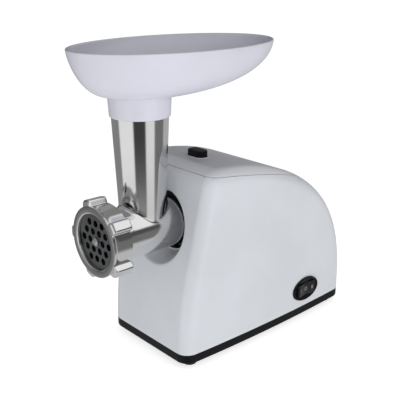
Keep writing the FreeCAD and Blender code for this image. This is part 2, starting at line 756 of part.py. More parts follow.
def case_slab(inset, y0, y1):
    slab = Part.Face(case_outline(inset))
    slab.translate(V(0, y0, 0))
    return slab.extrude(V(0, y1 - y0, 0))


def gearbox_case():
    """Open box for the gears; its rear wall carries the motor."""
    case = case_slab(0, case_front_y, case_rear_y).cut(case_slab(2.4, case_front_y - 1, case_rear_y - 2.6))
    for x, z in case_screw_xz:
        case = case.fuse(cyl_y(3.8, case_front_y, case_rear_y, x, z).common(case_slab(0, -60, 0)))
        case = case.cut(cyl_y(1.3, case_front_y - 1, case_front_y + 14, x, z))
    case = case.fuse(cyl_y(8.0, -16.0, case_rear_y)).cut(cyl_y(6.5, -18, case_rear_y - 1.2))
    for x, z in (first_xz, second_xz):
        case = case.cut(cyl_y(axle_r, case_rear_y - 2.8, case_rear_y - 0.5, x, z))
    case = case.cut(cyl_y(4.0, -14, 0, motor_x, motor_z))
    for x, z in motor_post_xz:
        case = case.cut(cyl_y(1.6, -20, 0, x, z))
    for x in (-7.0, 5.0):
        case = case.fuse(box(x, x + 2.0, lever_y - 3.0, lever_y + 3.0, case_top_z - 0.1, lever_z + 2.6))
    return case.cut(cyl_x(1.5, -9, 9, lever_y, lever_z)).removeSplitter()


def gearbox_cover():
    """Front plate of the gearbox, with the output bearing and screw holes for the socket."""
    plate = case_slab(0, case_front_y - 3.0, case_front_y)
    plate = plate.cut(cyl_y(12.0, -60, -30))
    for x, z in (first_xz, second_xz):
        plate = plate.cut(cyl_y(axle_r, case_front_y - 2.0, case_front_y + 1, x, z))
    for x, z in case_screw_xz:
        plate = plate.cut(cyl_y(1.9, -60, -30, x, z))
    return plate


def output_bushes():
    """Sintered bushes that carry the output wheel: one in the cover, one in the case."""
    front = cyl_y(12.0, case_front_y - 3.0, case_front_y).cut(cyl_y(9.0 + running, -60, -30))
    rear = cyl_y(6.5, -15.5, case_rear_y - 1.2).cut(cyl_y(5.0 + running, -20, 0))
    return group([front, rear])


def gearbox_screws():
    screws = []
    for x, z in case_screw_xz:
        head = cyl_y(3.0, case_front_y - 5.0, case_front_y - 3.0, x, z)
        screws.append(head.fuse(cyl_y(1.25, case_front_y - 3.1, case_front_y + 12, x, z)))
    return group(screws)


# ---- motor ----
def motor_pinion():
    piece = pinion(0, motor_xz, first_xz, -17.5, -11.5)
    return piece.cut(cyl_y(shaft_r, -20, 0, motor_x, motor_z))


def rotor_shaft():
    return cyl_y(shaft_r, -17.5, bracket_y[1] + 2.0, motor_x, motor_z)


def rotor_core():
    core = cyl_y(rotor_r, stator_y[0], stator_y[1], motor_x, motor_z)
    for k in range(12):
        slot = polar(rotor_r - 0.8, 30 * k, 0, motor_x, motor_z)
        core = core.cut(cyl_y(2.2, stator_y[0] - 1, stator_y[1] + 1, slot.x, slot.z))
    return core.cut(cyl_y(shaft_r, 0, 100, motor_x, motor_z))


def rotor_windings():
    ends = []
    for y0, y1 in ((stator_y[0] - 7.5, stator_y[0]), (stator_y[1], stator_y[1] + 7.5)):
        coil = cyl_y(15.5, y0, y1, motor_x, motor_z)
        coil = coil.makeFillet(2.5, [e for e in coil.Edges if e.Length > 50])
        ends.append(coil.cut(cyl_y(shaft_r, 0, 100, motor_x, motor_z)))
    return group(ends)


def commutator():
    drum = cyl_y(commutator_r, 71.5, 86.0, motor_x, motor_z)
    for k in range(12):
        bar = box(commutator_r - 0.8, commutator_r + 2, 71, 90, -0.3, 0.3)
        bar.rotate(V(0, 0, 0), Y_AXIS, 30 * k + 15)
        bar.translate(V(motor_x, 0, motor_z))
        drum = drum.cut(bar)
    return drum.cut(cyl_y(shaft_r, 0, 100, motor_x, motor_z))


def cooling_fan():
    fan = cyl_y(22.0, 3.0, 4.2, motor_x, motor_z).fuse(cyl_y(6.0, 3.0, 12.0, motor_x, motor_z))
    for k in range(9):
        blade = box(5.5, 21.5, 4.0, 11.5, -0.6, 0.6)
        blade.rotate(V(0, 0, 0), Y_AXIS, 40 * k)
        blade.translate(V(motor_x, 0, motor_z))
        fan = fan.fuse(blade)
    return fan.cut(cyl_y(shaft_r, 0, 100, motor_x, motor_z)).removeSplitter()


def coil_legs(gap):
    """The four stretches of coil that run through the stator."""
    y0, y1 = stator_y[0] - 1, stator_y[1] + 1
    return [sector_y(coil_in_r - gap, coil_out_r + gap, a - 9 - gap, a + 9 + gap, y0, y1, motor_x, motor_z)
            for a in (40, 140, 220, 320)]


def stator_core():
    block = rounded_rect(31.0, 28.0, 6.0, (0, 0, 0))
    block.rotate(V(0, 0, 0), V(1, 0, 0), 90)
    block.translate(V(motor_x, stator_y[0], motor_z))
    core = Part.Face(block).extrude(V(0, stator_y[1] - stator_y[0], 0))
    core = core.cut(cyl_y(rotor_r + 0.6, 0, 100, motor_x, motor_z))
    core = cut_all(core, coil_legs(0.2))
    for x, z in motor_post_xz:
        core = core.cut(cyl_y(1.6, 0, 100, x, z))
    return core


def field_coils():
    coils = []
    for first, second, a0, a1 in ((40, 140, 31, 149), (220, 320, 211, 329)):
        y0, y1 = stator_y
        coil = sector_y(coil_in_r, coil_out_r, a0, a1, y0 - 7.5, y0 - 0.3, motor_x, motor_z)
        coil = coil.fuse(sector_y(coil_in_r, coil_out_r, a0, a1, y1 + 0.3, y1 + 7.5, motor_x, motor_z))
        for a in (first, second):
            coil = coil.fuse(sector_y(coil_in_r, coil_out_r, a - 9, a + 9, y0 - 1, y1 + 1, motor_x, motor_z))
        coils.append(coil.removeSplitter())
    return group(coils)


def bracket(outer, inner, posts_to):
    """Bearing plate with four posts that stand on the stator, and a cup for the bearing."""
    y0, y1 = sorted((outer, inner))
    side = 1 if inner > outer else -1
    outline = rounded_rect(30.0, 27.0, 5.0, (0, 0, 0))
    outline.rotate(V(0, 0, 0), V(1, 0, 0), 90)
    outline.translate(V(motor_x, y0, motor_z))
    out = Part.Face(outline).extrude(V(0, y1 - y0, 0))
    for x, z in motor_post_xz:
        start, end = sorted((posts_to, (y0 + y1) / 2))
        out = out.fuse(cyl_y(3.4, start, end, x, z)).cut(cyl_y(1.6, -30, 130, x, z))
    start, end = sorted((outer, outer + side * (bearing_w + 1.2)))
    out = out.fuse(cyl_y(9.5, start, end, motor_x, motor_z))
    start, end = sorted((outer - side, outer + side * bearing_w))
    return out.cut(cyl_y(7.5, start, end, motor_x, motor_z)).cut(cyl_y(3.2, -30, 130, motor_x, motor_z))


def motor_front_bracket():
    return bracket(bracket_y[0], bracket_y[0] + 2.6, stator_y[0]).removeSplitter()


def motor_rear_bracket():
    """Rear plate; its two arms carry the brush holders."""
    plate = bracket(bracket_y[1], bracket_y[1] - 2.6, stator_y[1])
    for side in (-1, 1):
        x0, x1 = sorted((side * 19, side * 30))
        plate = plate.fuse(box(x0, x1, brush_y[1], bracket_y[1] - 2, motor_z - 5, motor_z + 5))
    return plate.removeSplitter()


def motor_bearings():
    rings = []
    for y0 in (bracket_y[0], bracket_y[1] - bearing_w):
        ring = cyl_y(7.5, y0, y0 + bearing_w, motor_x, motor_z)
        rings.append(ring.cut(cyl_y(shaft_r + running, -30, 130, motor_x, motor_z)))
    return group(rings)


def brush_holders():
    holders = []
    for side in (-1, 1):
        x0, x1 = sorted((side * 13.0, side * 32.0))
        tube = box(x0, x1, brush_y[0], brush_y[1], motor_z - 4.2, motor_z + 4.2)
        x0, x1 = sorted((side * 10.0, side * 30.8))
        holders.append(tube.cut(box(x0, x1, brush_y[0] + 1.2, brush_y[1] - 1.2, motor_z - 3.0, motor_z + 3.0)))
    return group(holders)


def carbon_brushes():
    brushes = []
    for side in (-1, 1):
        x0, x1 = sorted((side * commutator_r / 2, side * 22.0))
        block = box(x0, x1, brush_y[0] + 1.3, brush_y[1] - 1.3, motor_z - 2.9, motor_z + 2.9)
        brushes.append(block.cut(cyl_y(commutator_r + running, 70, 90, motor_x, motor_z)))
    return group(brushes)


def brush_springs():
    springs = []
    for side in (-1, 1):
        spring = coil_spring(2.0, 0.3, 5, V(0, 0, 22.05), 8.7)
        spring.rotate(V(0, 0, 0), Y_AXIS, side * 90)
        spring.translate(V(motor_x, sum(brush_y) / 2, motor_z))
        springs.append(spring)
    return group(springs)


def motor_screws():
    """Long screws that hold the front bracket, stator and rear bracket on the gearbox."""
    screws = []
    rear = bracket_y[1]
    for x, z in motor_post_xz:
        screws.append(cyl_y(1.5, case_rear_y - 2.0, rear, x, z).fuse(cyl_y(3.0, rear, rear + 2.2, x, z)))
    return group(screws)


def motor_cushions():
    """Rubber blocks between the base's posts and the stator."""
    pads = []
    for x in (-22, 22):
        for y in (24, 62):
            y0, y1 = max(y - 4, stator_y[0]), min(y + 4, stator_y[1])
            pads.append(box(x - 5, x + 5, y0, y1, cushion_foot_z, motor_z - 28.0))
    return group(pads)


# ---- mains inlet ----
def cord_inlet():
    """Rubber bush in the rear wall; the lead itself isn't part of this object."""
    bush = cyl_y(inlet_r - 0.2, 132, 143.2, inlet_x, inlet_z).fuse(cyl_y(inlet_r + 2.0, 133, 137.0, inlet_x, inlet_z))
    return bush.cut(cyl_y(3.6, 120, 150, inlet_x, inlet_z))


def terminal_block():
    block = box(-40, -22, 98, 110, foot_h + 2.6, 24)
    for x in (-36, -31, -26):
        block = block.cut(cyl_z(1.6, 18, 30, x, 104))
    return block


sub_parts = [
    housing_shell, top_cover, base_plate, rubber_feet, base_screws, switch_bezel, rocker_switch, rocker_pin,
    switch_body, switch_terminals, head_socket, grinder_head, screw_bush, feed_screw, cross_knife,
    cutting_plate, ring_nut, hopper_tray, release_button, button_spring, latch_lever, latch_pivot, latch_pin,
    output_gear, second_gear, first_gear, gear_axles, gearbox_case, gearbox_cover, output_bushes,
    gearbox_screws, motor_pinion, rotor_shaft, rotor_core, rotor_windings, commutator, cooling_fan,
    stator_core, field_coils, motor_front_bracket, motor_rear_bracket, motor_bearings, brush_holders,
    carbon_brushes, brush_springs, motor_screws, motor_cushions, cord_inlet, terminal_block,
]

os.makedirs("parts", exist_ok=True)
for make in sub_parts:
    export(make.__name__, make())
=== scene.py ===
import math

import bmesh
import bpy
import numpy as np
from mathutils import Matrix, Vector


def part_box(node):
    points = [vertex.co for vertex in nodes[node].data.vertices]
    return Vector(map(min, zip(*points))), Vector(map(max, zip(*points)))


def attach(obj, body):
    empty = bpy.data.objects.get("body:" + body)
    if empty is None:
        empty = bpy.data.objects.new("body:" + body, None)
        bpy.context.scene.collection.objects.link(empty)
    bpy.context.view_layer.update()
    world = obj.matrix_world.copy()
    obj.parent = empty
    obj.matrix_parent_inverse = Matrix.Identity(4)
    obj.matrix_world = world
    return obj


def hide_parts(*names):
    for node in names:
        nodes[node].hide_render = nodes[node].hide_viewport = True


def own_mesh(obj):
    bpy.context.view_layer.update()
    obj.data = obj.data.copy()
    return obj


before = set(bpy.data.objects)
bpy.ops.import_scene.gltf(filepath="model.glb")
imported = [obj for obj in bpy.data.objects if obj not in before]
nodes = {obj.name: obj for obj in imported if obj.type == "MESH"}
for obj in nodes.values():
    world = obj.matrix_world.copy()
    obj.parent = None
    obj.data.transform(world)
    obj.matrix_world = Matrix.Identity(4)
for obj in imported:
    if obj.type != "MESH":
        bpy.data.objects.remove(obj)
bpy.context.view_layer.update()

scene = bpy.context.scene
pi = math.pi
axisZ = 0.1246  # height of the barrel's axis


def nodeSpan(name):
    low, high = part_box(name)
    return np.array(low), np.array(high)


def aimAt(thing, place, aim):
    # a camera or lamp stands at a place and looks at a point
    thing.location = place
    thing.rotation_euler = (Vector(aim) - Vector(place)).to_track_quat("-Z", "Y").to_euler()
    scene.collection.objects.link(thing)


# camera
view = {"place": (0.47330, -0.43466, 0.35224), "aim": (-0.04999, 0.03209, 0.11219), "lens": 63.08,
        "sensor": 36.0}
cameraData = bpy.data.cameras.new("camera")
cameraData.lens = view["lens"]
cameraData.sensor_width = view["sensor"]
camera = bpy.data.objects.new("camera", cameraData)
aimAt(camera, view["place"], view["aim"])
scene.camera = camera
print("camera ready")

# surfaces on grids
meshing = {"weld": 2e-5, "sliver": 5e-6, "sharp": 32.0, "edgeSegments": 2, "edgeAngle": 50.0}
cornerShare = 0.48  # most of a side that one corner's arc may use


def gridFaces(rows, cols, closeRows=False, closeCols=False, skip=None):
    # quads of a rows x cols grid, wrapping round where asked; skip lists blocks (row0, row1, col0, col1)
    i = np.arange(rows if closeRows else rows - 1)
    j = np.arange(cols if closeCols else cols - 1)
    i, j = np.meshgrid(i, j, indexing="ij")
    i, j = i.ravel(), j.ravel()
    for i0, i1, j0, j1 in skip or []:
        keep = ~((i >= i0) & (i < i1) & (j >= j0) & (j < j1))
        i, j = i[keep], j[keep]
    nextI, nextJ = (i + 1) % rows, (j + 1) % cols
    return np.stack([i * cols + j, i * cols + nextJ, nextI * cols + nextJ, nextI * cols + j], axis=1)


def sheet(grid, skip=None):
    return grid, gridFaces(*grid.shape[:2], skip=skip)


def joined(rings):
    # closed rings of equal count, each joined to the next
    grid = np.asarray(rings)
    return grid, gridFaces(*grid.shape[:2], closeCols=True)


def makePiece(name, parts, finish, body, node, sharp=meshing["sharp"]):
    # parts: (points as rows x cols x 3, faces); welded where they meet, poles closed, faces turned outwards;
    # the piece rides a body and takes a CAD node's place
    points, faces, base = [], [], 0
    for grid, quads in parts:
        flat = np.asarray(grid, dtype=float).reshape(-1, 3)
        points.append(flat)
        faces.append(quads + base)
        base += len(flat)
    mesh = bpy.data.meshes.new(name)
    mesh.from_pydata(np.concatenate(points), [], np.concatenate(faces).tolist())
    work = bmesh.new()
    work.from_mesh(mesh)
    bmesh.ops.remove_doubles(work, verts=work.verts, dist=meshing["weld"])
    bmesh.ops.dissolve_degenerate(work, edges=work.edges, dist=meshing["sliver"])
    bmesh.ops.recalc_face_normals(work, faces=work.faces)
    for face in work.faces:
        face.smooth = True
    work.to_mesh(mesh)
    work.free()
    mesh.set_sharp_from_angle(angle=math.radians(sharp))
    mesh.materials.append(finishes[finish].material)
    piece = bpy.data.objects.new(name, mesh)
    scene.collection.objects.link(piece)
    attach(piece, body)
    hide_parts(node)
    print(name, "made", len(mesh.polygons))
    return piece


def thicken(piece):
    # gives a skin its wall, inwards, and rounds the wall's edges
    solid = piece.modifiers.new("wall", "SOLIDIFY")
    solid.thickness = body["wall"]
    solid.offset = -1.0
    solid.use_even_offset = True
    bevel = piece.modifiers.new("edge", "BEVEL")
    bevel.width = body["edge"]
    bevel.segments = meshing["edgeSegments"]
    bevel.limit_method = "ANGLE"
    bevel.angle_limit = math.radians(meshing["edgeAngle"])


def circleTurns(steps):
    return np.linspace(0, 2 * pi, steps, endpoint=False)


def oval(turn, halves, centre=(0, 0)):
    # centre + halves (cos, sin); halves is one radius, a radius for each angle, or a pair of them
    a, b = halves if isinstance(halves, tuple) else (halves, halves)
    return np.stack([centre[0] + a * np.cos(turn), centre[1] + b * np.sin(turn)], -1)


def lifted(flat, k, value):
    # flat points with a third coordinate put in at place k
    return np.insert(flat, k, value, axis=-1)


def turned(profile, centre, upright=False, steps=96):
    # a closed outline of (radius, place along the axis) points, carried once round an axis along Y or upright
    profile = np.asarray(profile, dtype=float)
    angle = circleTurns(steps)[:, None]
    a, b = profile[:, 0] * np.cos(angle), profile[:, 0] * np.sin(angle)
    along = np.broadcast_to(profile[:, 1], a.shape)
    grid = np.stack([a, b, along] if upright else [a, along, b], axis=-1) + np.asarray(centre)
    return grid, gridFaces(steps, len(profile), closeRows=True)


def arcTo(start, corner, end, steps):
    # the arc from start to end that touches both lines to their corner:
    # middle + (sin((1 - t) sweep) first radius + sin(t sweep) last radius) / sin(sweep)
    toStart, toEnd = start - corner, end - corner
    reach = np.linalg.norm(toStart)
    half = math.acos(float(np.clip(toStart @ toEnd / (reach * np.linalg.norm(toEnd)), -1, 1))) / 2
    inward = (toStart + toEnd) / np.linalg.norm(toStart + toEnd)
    middle = corner + inward * (reach * math.tan(half) / math.sin(half))
    sweep = pi - 2 * half
    t = np.linspace(0, 1, steps)[:, None]
    turning = np.sin((1 - t) * sweep) * (start - middle) + np.sin(t * sweep) * (end - middle)
    return middle + turning / math.sin(sweep)


def rounded(points, radius, steps=4, closed=False):
    # an outline of 2D points, each inner corner swapped for a short arc
    points = [np.array(p, dtype=float) for p in points]
    radii = radius if isinstance(radius, (list, tuple)) else [radius] * len(points)
    out = []
    for k, here in enumerate(points):
        if radii[k] == 0 or not closed and k in (0, len(points) - 1):
            out.append(here[None])
            continue
        before, after = points[k - 1] - here, points[(k + 1) % len(points)] - here
        lenBefore, lenAfter = np.linalg.norm(before), np.linalg.norm(after)
        before, after = before / lenBefore, after / lenAfter
        half = math.acos(float(np.clip(before @ after, -1, 1))) / 2
        reach = min(radii[k] / math.tan(half), cornerShare * lenBefore, cornerShare * lenAfter)
        out.append(arcTo(here + before * reach, here, here + after * reach, steps + 1))
    return np.concatenate(out)


def roundedRect(halfA, halfB, corner, angles):
    # distance-to-edge of a rounded rectangle along each angle, as points (a, b)
    a, b = np.cos(angles), np.sin(angles)
    far = np.minimum(halfA / np.maximum(np.abs(a), 1e-9), halfB / np.maximum(np.abs(b), 1e-9))
    ca, cb = halfA - corner, halfB - corner
    inCorner = (np.abs(a) * far > ca) & (np.abs(b) * far > cb)
    dot = np.abs(a) * ca + np.abs(b) * cb
    arc = dot + np.sqrt(np.maximum(dot ** 2 - (ca ** 2 + cb ** 2 - corner ** 2), 0))
    r = np.where(inCorner, arc, far)
    return np.stack([a * r, b * r], axis=-1)


def parabola(t, start, corner, end):
    # tangent at both ends to the lines to the corner
    return (1 - t) ** 2 * start + 2 * t * (1 - t) * corner + t ** 2 * end


def blockLoop(i0, i1, j0, j1):
    # grid indices once round a block's edge
    rise, across = np.arange(i0, i1), np.arange(j0, j1)
    i = np.concatenate([np.full(j1 - j0, i0), rise, np.full(j1 - j0, i1), rise[::-1] + 1])
    j = np.concatenate([across, np.full(i1 - i0, j1), across[::-1] + 1, np.full(i1 - i0, j0)])
    return i, j


def holePatch(edge, flat, inner, place, steps):
    # rings from a block's edge to an inner outline, straight lines in the plane put back on the surface
    t = np.linspace(0, 1, steps + 1)[1:, None, None]
    return joined(np.concatenate([edge[None], place((1 - t) * flat[None] + t * inner[None])]))


def spaced(stops, step):
    # a run of values through the stops, about a step apart, hitting each stop
    runs = [np.linspace(a, b, max(2, int(math.ceil((b - a) / step)) + 1))[:-1]
            for a, b in zip(stops[:-1], stops[1:])]
    return np.concatenate(runs + [[stops[-1]]])


def nearest(values, value):
    return int(np.argmin(abs(values - value)))


def lastInside(inside, low, high):
    # for whole arrays, by halving: the last value between low and high that is still inside
    for _ in range(40):
        middle = (low + high) / 2
        held = inside(middle)
        low, high = np.where(held, middle, low), np.where(held, high, middle)
    return low


# shaders
class Nodes:
    # a node tree, with one way to add a node: its type, its settings, then its sockets' values or links
    def __init__(self, tree):
        self.tree = tree

    def node(self, kind, settings=None, values=None):
        made = self.tree.nodes.new(kind)
        for key, value in (settings or {}).items():
            setattr(made, key, value)
        for key, value in (values or {}).items():
            self.put(made.inputs[key], value)
        return made

    def put(self, socket, value):
        value = value.socket if isinstance(value, Amount) else value
        if isinstance(value, bpy.types.NodeSocket):
            self.tree.links.new(value, socket)
        else:
            socket.default_value = value

    def axes(self, vector=None):
        split = self.node("ShaderNodeSeparateXYZ", {}, {"Vector": vector or self.place})
        return [Amount(self, split.outputs[k]) for k in range(3)]


class Amount:
    # wraps a socket, so that an expression on it adds the Math nodes it needs
    def __init__(self, owner, socket):
        self.owner, self.socket = owner, socket

    def maths(self, operation, *values):
        made = self.owner.node("ShaderNodeMath", {"operation": operation}, dict(enumerate(values)))
        return Amount(self.owner, made.outputs[0])

    def __add__(self, other): return self.maths("ADD", self, other)
    def __radd__(self, other): return self.maths("ADD", other, self)
    def __sub__(self, other): return self.maths("SUBTRACT", self, other)
    def __rsub__(self, other): return self.maths("SUBTRACT", other, self)
    def __mul__(self, other): return self.maths("MULTIPLY", self, other)
    def __rmul__(self, other): return self.maths("MULTIPLY", other, self)
    def sine(self): return self.maths("SINE", self)
    def size(self): return self.maths("ABSOLUTE", self)
    def angleTo(self, other): return self.maths("ARCTAN2", self, other)
    def length(self, other): return self.maths("SQRT", self * self + other * other)

    def step(self, low, high):
        # 0 below low, 1 above high, smooth between
        made = self.owner.node("ShaderNodeMapRange", {"interpolation_type": "SMOOTHSTEP"},
                               {"Value": self, "From Min": low, "From Max": high})
        return Amount(self.owner, made.outputs["Result"])


class Finish(Nodes):
    # a material with one principled shader, and short ways to add patterns to it
    def __init__(self, name, color, roughness, metallic=0.0, coat=0.0, specular=0.5):
        self.material = bpy.data.materials.new(name)
        self.material.use_nodes = True
        super().__init__(self.material.node_tree)
        self.shader = next(n for n in self.tree.nodes if n.type == "BSDF_PRINCIPLED")
        for key, value in {"Base Color": (*color, 1.0), "Roughness": roughness, "Metallic": metallic,
                           "Coat Weight": coat, "Coat Roughness": 0.1, "Specular IOR Level": specular}.items():
            self.feed(key, value)
        self.place = self.node("ShaderNodeTexCoord").outputs["Object"]

    def feed(self, name, value):
        self.put(self.shader.inputs[name], value)

    def noise(self, scale, detail=2.0, stretch=(1, 1, 1)):
        mapping = self.node("ShaderNodeMapping", {}, {"Vector": self.place, "Scale": stretch})
        values = {"Vector": mapping.outputs[0], "Scale": scale, "Detail": detail}
        made = self.node("ShaderNodeTexNoise", {}, values)
        return Amount(self, made.outputs["Fac"])

    def blend(self, factor, first, second):
        first, second = ((*c, 1.0) if isinstance(c, tuple) else c for c in (first, second))
        mix = self.node("ShaderNodeMix", {"data_type": "RGBA"}, {0: factor, 6: first, 7: second})
        return mix.outputs[2]

    def tint(self, pattern, edges, color, dark, bright):
        # the base colour runs from a dark shade to a bright one where the pattern rises between two edges
        self.feed("Base Color", self.blend(pattern.step(*edges), shade(color, dark), shade(color, bright)))

    def bump(self, height, depth, strength):
        made = self.node("ShaderNodeBump", {}, {"Height": height, "Strength": strength, "Distance": depth})
        self.feed("Normal", made.outputs["Normal"])


def shade(color, factor):
    return tuple(min(1.0, c * factor) for c in color)


moulding = {"flowScale": 14.0, "flowEdges": (0.3, 0.7), "glossScale": 60.0, "glossSpread": 0.08,
            "grainScale": 1800.0, "grainStrength": 0.6}


def mouldedPlastic(name, color, roughness, grain=0.0, tone=0.03, specular=0.5):
    # smooth moulded plastic: a slight flow in tone and gloss, and an optional fine grain
    m = moulding
    finish = Finish(name, color, roughness, specular=specular)
    finish.tint(finish.noise(m["flowScale"], 3.0), m["flowEdges"], color, 1 - tone, 1 + tone)
    gloss = m["glossSpread"] * finish.noise(m["glossScale"])
    finish.feed("Roughness", roughness - m["glossSpread"] / 2 + gloss)
    if grain:
        finish.bump(finish.noise(m["grainScale"]), grain, m["grainStrength"])
    return finish


def lidPaintedShadePlastic(name, paintedShadeFaceColor, paintedSheenRimColor, roughness):
    # the cover: a darker flat top inside a lighter rounded band; the darker top is painted shade and the lighter
    # band painted sheen
    finish = mouldedPlastic(name, paintedSheenRimColor, roughness)
    x, y, _ = finish.axes()
    edge = body["width"] / 2 - body["corner"]
    # painted shade: where this mask covers the flat top, the colour turns to the darker face colour
    top = 1 - x.size().step(edge + lid["faceEdge"][0], edge + lid["faceEdge"][1])
    front = y.step(lid["faceFront"] - lid["faceBlur"], lid["faceFront"] + lid["faceBlur"])
    finish.feed("Base Color", finish.blend(top * front, paintedSheenRimColor, paintedShadeFaceColor))
    return finish


turning = {"pitch": 9000.0, "wobble": 8.0, "wobbleScale": 40.0, "cloudScale": 30.0, "cloudEdges": (0.35, 0.65),
           "streak": 0.04, "ringGloss": 0.05, "ringDepth": 0.00001, "faceBlur": 0.0002,
           "faceRoughness": 0.36, "paintedFaceShade": 0.42}


def turnedMetal(name, color, roughness, rings=0.0, faceY=None):
    # polished cast metal, with faint turning marks round the barrel's axis
    m = turning
    finish = Finish(name, color, roughness, metallic=1.0)
    x, y, z = finish.axes()
    marks = (x.length(z - axisZ) * m["pitch"] + finish.noise(m["wobbleScale"]) * m["wobble"]).sine()
    cloud = finish.noise(m["cloudScale"], 3.0)
    finish.feed("Roughness", roughness + m["streak"] * cloud + rings * m["ringGloss"] * marks)
    finish.tint(cloud, m["cloudEdges"], color, 0.96, 1.02)
    if rings:
        finish.bump(marks, m["ringDepth"] * rings, 0.5)
    if faceY is not None:  # the turned front face is duller than the polished sides
        face = 1 - y.step(faceY - m["faceBlur"], faceY + m["faceBlur"])
        finish.feed("Roughness", (1 - face) * roughness + face * m["faceRoughness"] + m["streak"] * cloud)
        # painted shade: the front face's colour is darkened; its higher roughness is its real duller finish
        finish.feed("Base Color", finish.blend(face, color, shade(color, m["paintedFaceShade"])))
    return finish


def laminated(name, color, roughness, pitch=0.0006):
    # thin sheets stacked along Y
    finish = Finish(name, color, roughness, metallic=0.6)
    sheets = (finish.axes()[1] * (2 * pi / pitch)).sine()
    finish.tint(sheets, (-0.2, 0.6), color, 0.55, 1.0)
    finish.bump(sheets, 0.00008, 0.6)
    return finish


def woundWire(name, color, height, pitch=0.0007, slant=0.7):
    # enamelled copper wire lying round the rotor's axis, which is at a height
    finish = Finish(name, color, 0.3, metallic=0.85, coat=0.5)
    x, y, z = finish.axes()
    strands = ((x.length(z - height) + y * slant) * (2 * pi / pitch) + finish.noise(90.0) * 4.0).sine()
    finish.tint(strands, (-0.5, 0.7), color, 0.45, 1.0)
    finish.bump(strands, 0.0001, 0.8)
    return finish


def plainMetal(name, color, roughness, grain=(1, 1, 1)):
    # drawn or ground steel with a fine directional grain
    finish = Finish(name, color, roughness, metallic=1.0)
    scratch = finish.noise(500.0, 2.0, grain)
    finish.feed("Roughness", roughness - 0.06 + 0.14 * scratch)
    finish.tint(scratch, (0.3, 0.7), color, 0.93, 1.03)
    finish.bump(scratch, 0.00002, 0.3)
    return finish


def mattFinish(name, color, roughness, scale=700.0, metallic=0.0):
    # rubber, carbon or porous metal, with a fine dusty mottle
    finish = Finish(name, color, roughness, metallic=metallic, specular=0.35)
    dust = finish.noise(scale, 3.0)
    finish.tint(dust, (0.3, 0.75), color, 0.8, 1.25)
    finish.feed("Roughness", roughness - 0.05 + 0.12 * dust)
    finish.bump(dust, 0.00005, 0.5)
    return finish


# the body's form
body = {"length": 0.2234, "width": 0.1112, "bow": 0.0035, "corner": 0.0125, "foot": 0.0144, "top": 0.180,
        "frontLean": 0.235, "shinLean": 0.045, "kneeReach": 0.028, "noseRadius": 0.016, "power": 2.6,
        "wall": 0.0022, "edge": 0.0006, "frontY": -0.0623, "levelHeight": 0.03,
        "frontStep": 0.0032, "topStep": 0.0035, "rearStep": 0.0042, "bandStep": 0.003, "spread": 7}
shellLow, shellHigh = nodeSpan("housing_shell")
bodyY = (shellLow[1] + shellHigh[1]) / 2
lid = {"seam": [(-0.060, 0.177), (0.0142, 0.1683), (0.0705, 0.1548)], "gap": 0.0004, "faceFront": -0.0335,
       "faceBlur": 0.0008, "faceEdge": (-0.0005, 0.0007),
       "step": 0.0026, "halfX": 0.0156, "margin": 0.0125, "crown": 0.012, "turns": 8}
samples = {"crown": 400, "profile": 2400, "smooth": 33, "front": 900}


def sideProfile():
    # side view from the front foot up, over and down to the rear foot:
    # near-upright shin, bend, leaning front, nose arc, then a superellipse z = h cos(t)^(2/p), y = a sin(t)
    front = bodyY - body["length"] / 2
    foot, top = body["foot"], body["top"]
    frontAt = lambda z: body["frontY"] + body["frontLean"] * (z - axisZ)
    ankle = np.array([front, foot])
    upShin = np.array([body["shinLean"], 1.0])
    upFront = np.array([body["frontLean"], 1.0]) / math.hypot(body["frontLean"], 1.0)
    knee = ankle + upShin * (frontAt(foot) - front) / (body["shinLean"] - body["frontLean"])
    upShin = upShin / np.linalg.norm(upShin)
    corner = np.array([frontAt(top), top])
    reach = body["noseRadius"] * math.tan(math.acos(upFront[0]) / 2)
    noseStart, noseEnd = corner - upFront * reach, corner + np.array([reach, 0])
    kneeStart, kneeEnd = knee - upShin * body["kneeReach"], knee + upFront * body["kneeReach"]
    t = np.radians(np.linspace(0, 90, samples["crown"]))
    a = bodyY + body["length"] / 2 - noseEnd[0]
    crownZ = foot + (top - foot) * np.cos(t).clip(0) ** (2 / body["power"])
    crown = np.stack([noseEnd[0] + a * np.sin(t), crownZ], 1)
    line = lambda p, q, n: p + (q - p) * np.linspace(0, 1, n)[:, None]
    path = np.concatenate([line(ankle, kneeStart, 40), arcTo(kneeStart, knee, kneeEnd, 60)[1:],
                           line(kneeEnd, noseStart, 80)[1:], arcTo(noseStart, corner, noseEnd, 60)[1:],
                           crown[1:]])
    step = np.linalg.norm(np.diff(path, axis=0), axis=1)
    return path, np.concatenate([[0], np.cumsum(step)])


path, pathLength = sideProfile()
fine = np.linspace(0, pathLength[-1], samples["profile"])
fineY, fineZ = np.interp(fine, pathLength, path[:, 0]), np.interp(fine, pathLength, path[:, 1])
rearHalf = slice(len(fine) // 2, None)
frontPart = slice(0, samples["front"])


def smoothSlope(values):
    # slope along the profile after a bell-shaped running mean
    kernel = np.hanning(samples["smooth"])
    ends = np.pad(values, samples["smooth"] // 2, mode="reflect", reflect_type="odd")
    return np.gradient(np.convolve(ends, kernel / kernel.sum(), "valid"), fine)


tangentY, tangentZ = smoothSlope(fineY), smoothSlope(fineZ)
tangentSize = np.hypot(tangentY, tangentZ)
tangentY, tangentZ = tangentY / tangentSize, tangentZ / tangentSize


def onProfile(s):
    # place (y, z) and outward normal at a length s along the side profile; the normal is level at both feet
    y, z = np.interp(s, fine, fineY), np.interp(s, fine, fineZ)
    ny, nz = -np.interp(s, fine, tangentZ), np.interp(s, fine, tangentY)
    level = np.clip((z - body["foot"]) / body["levelHeight"], 0, 1)
    nz = nz * level * level * (3 - 2 * level)
    size = np.hypot(ny, nz)
    return y, z, ny / size, nz / size


def halfWidth(y):
    # the sides bow outwards on a circle through both corners
    half = body["length"] / 2
    r = (half ** 2 + body["bow"] ** 2) / (2 * body["bow"])
    return body["width"] / 2 + body["bow"] - r + np.sqrt(r ** 2 - (y - bodyY) ** 2)


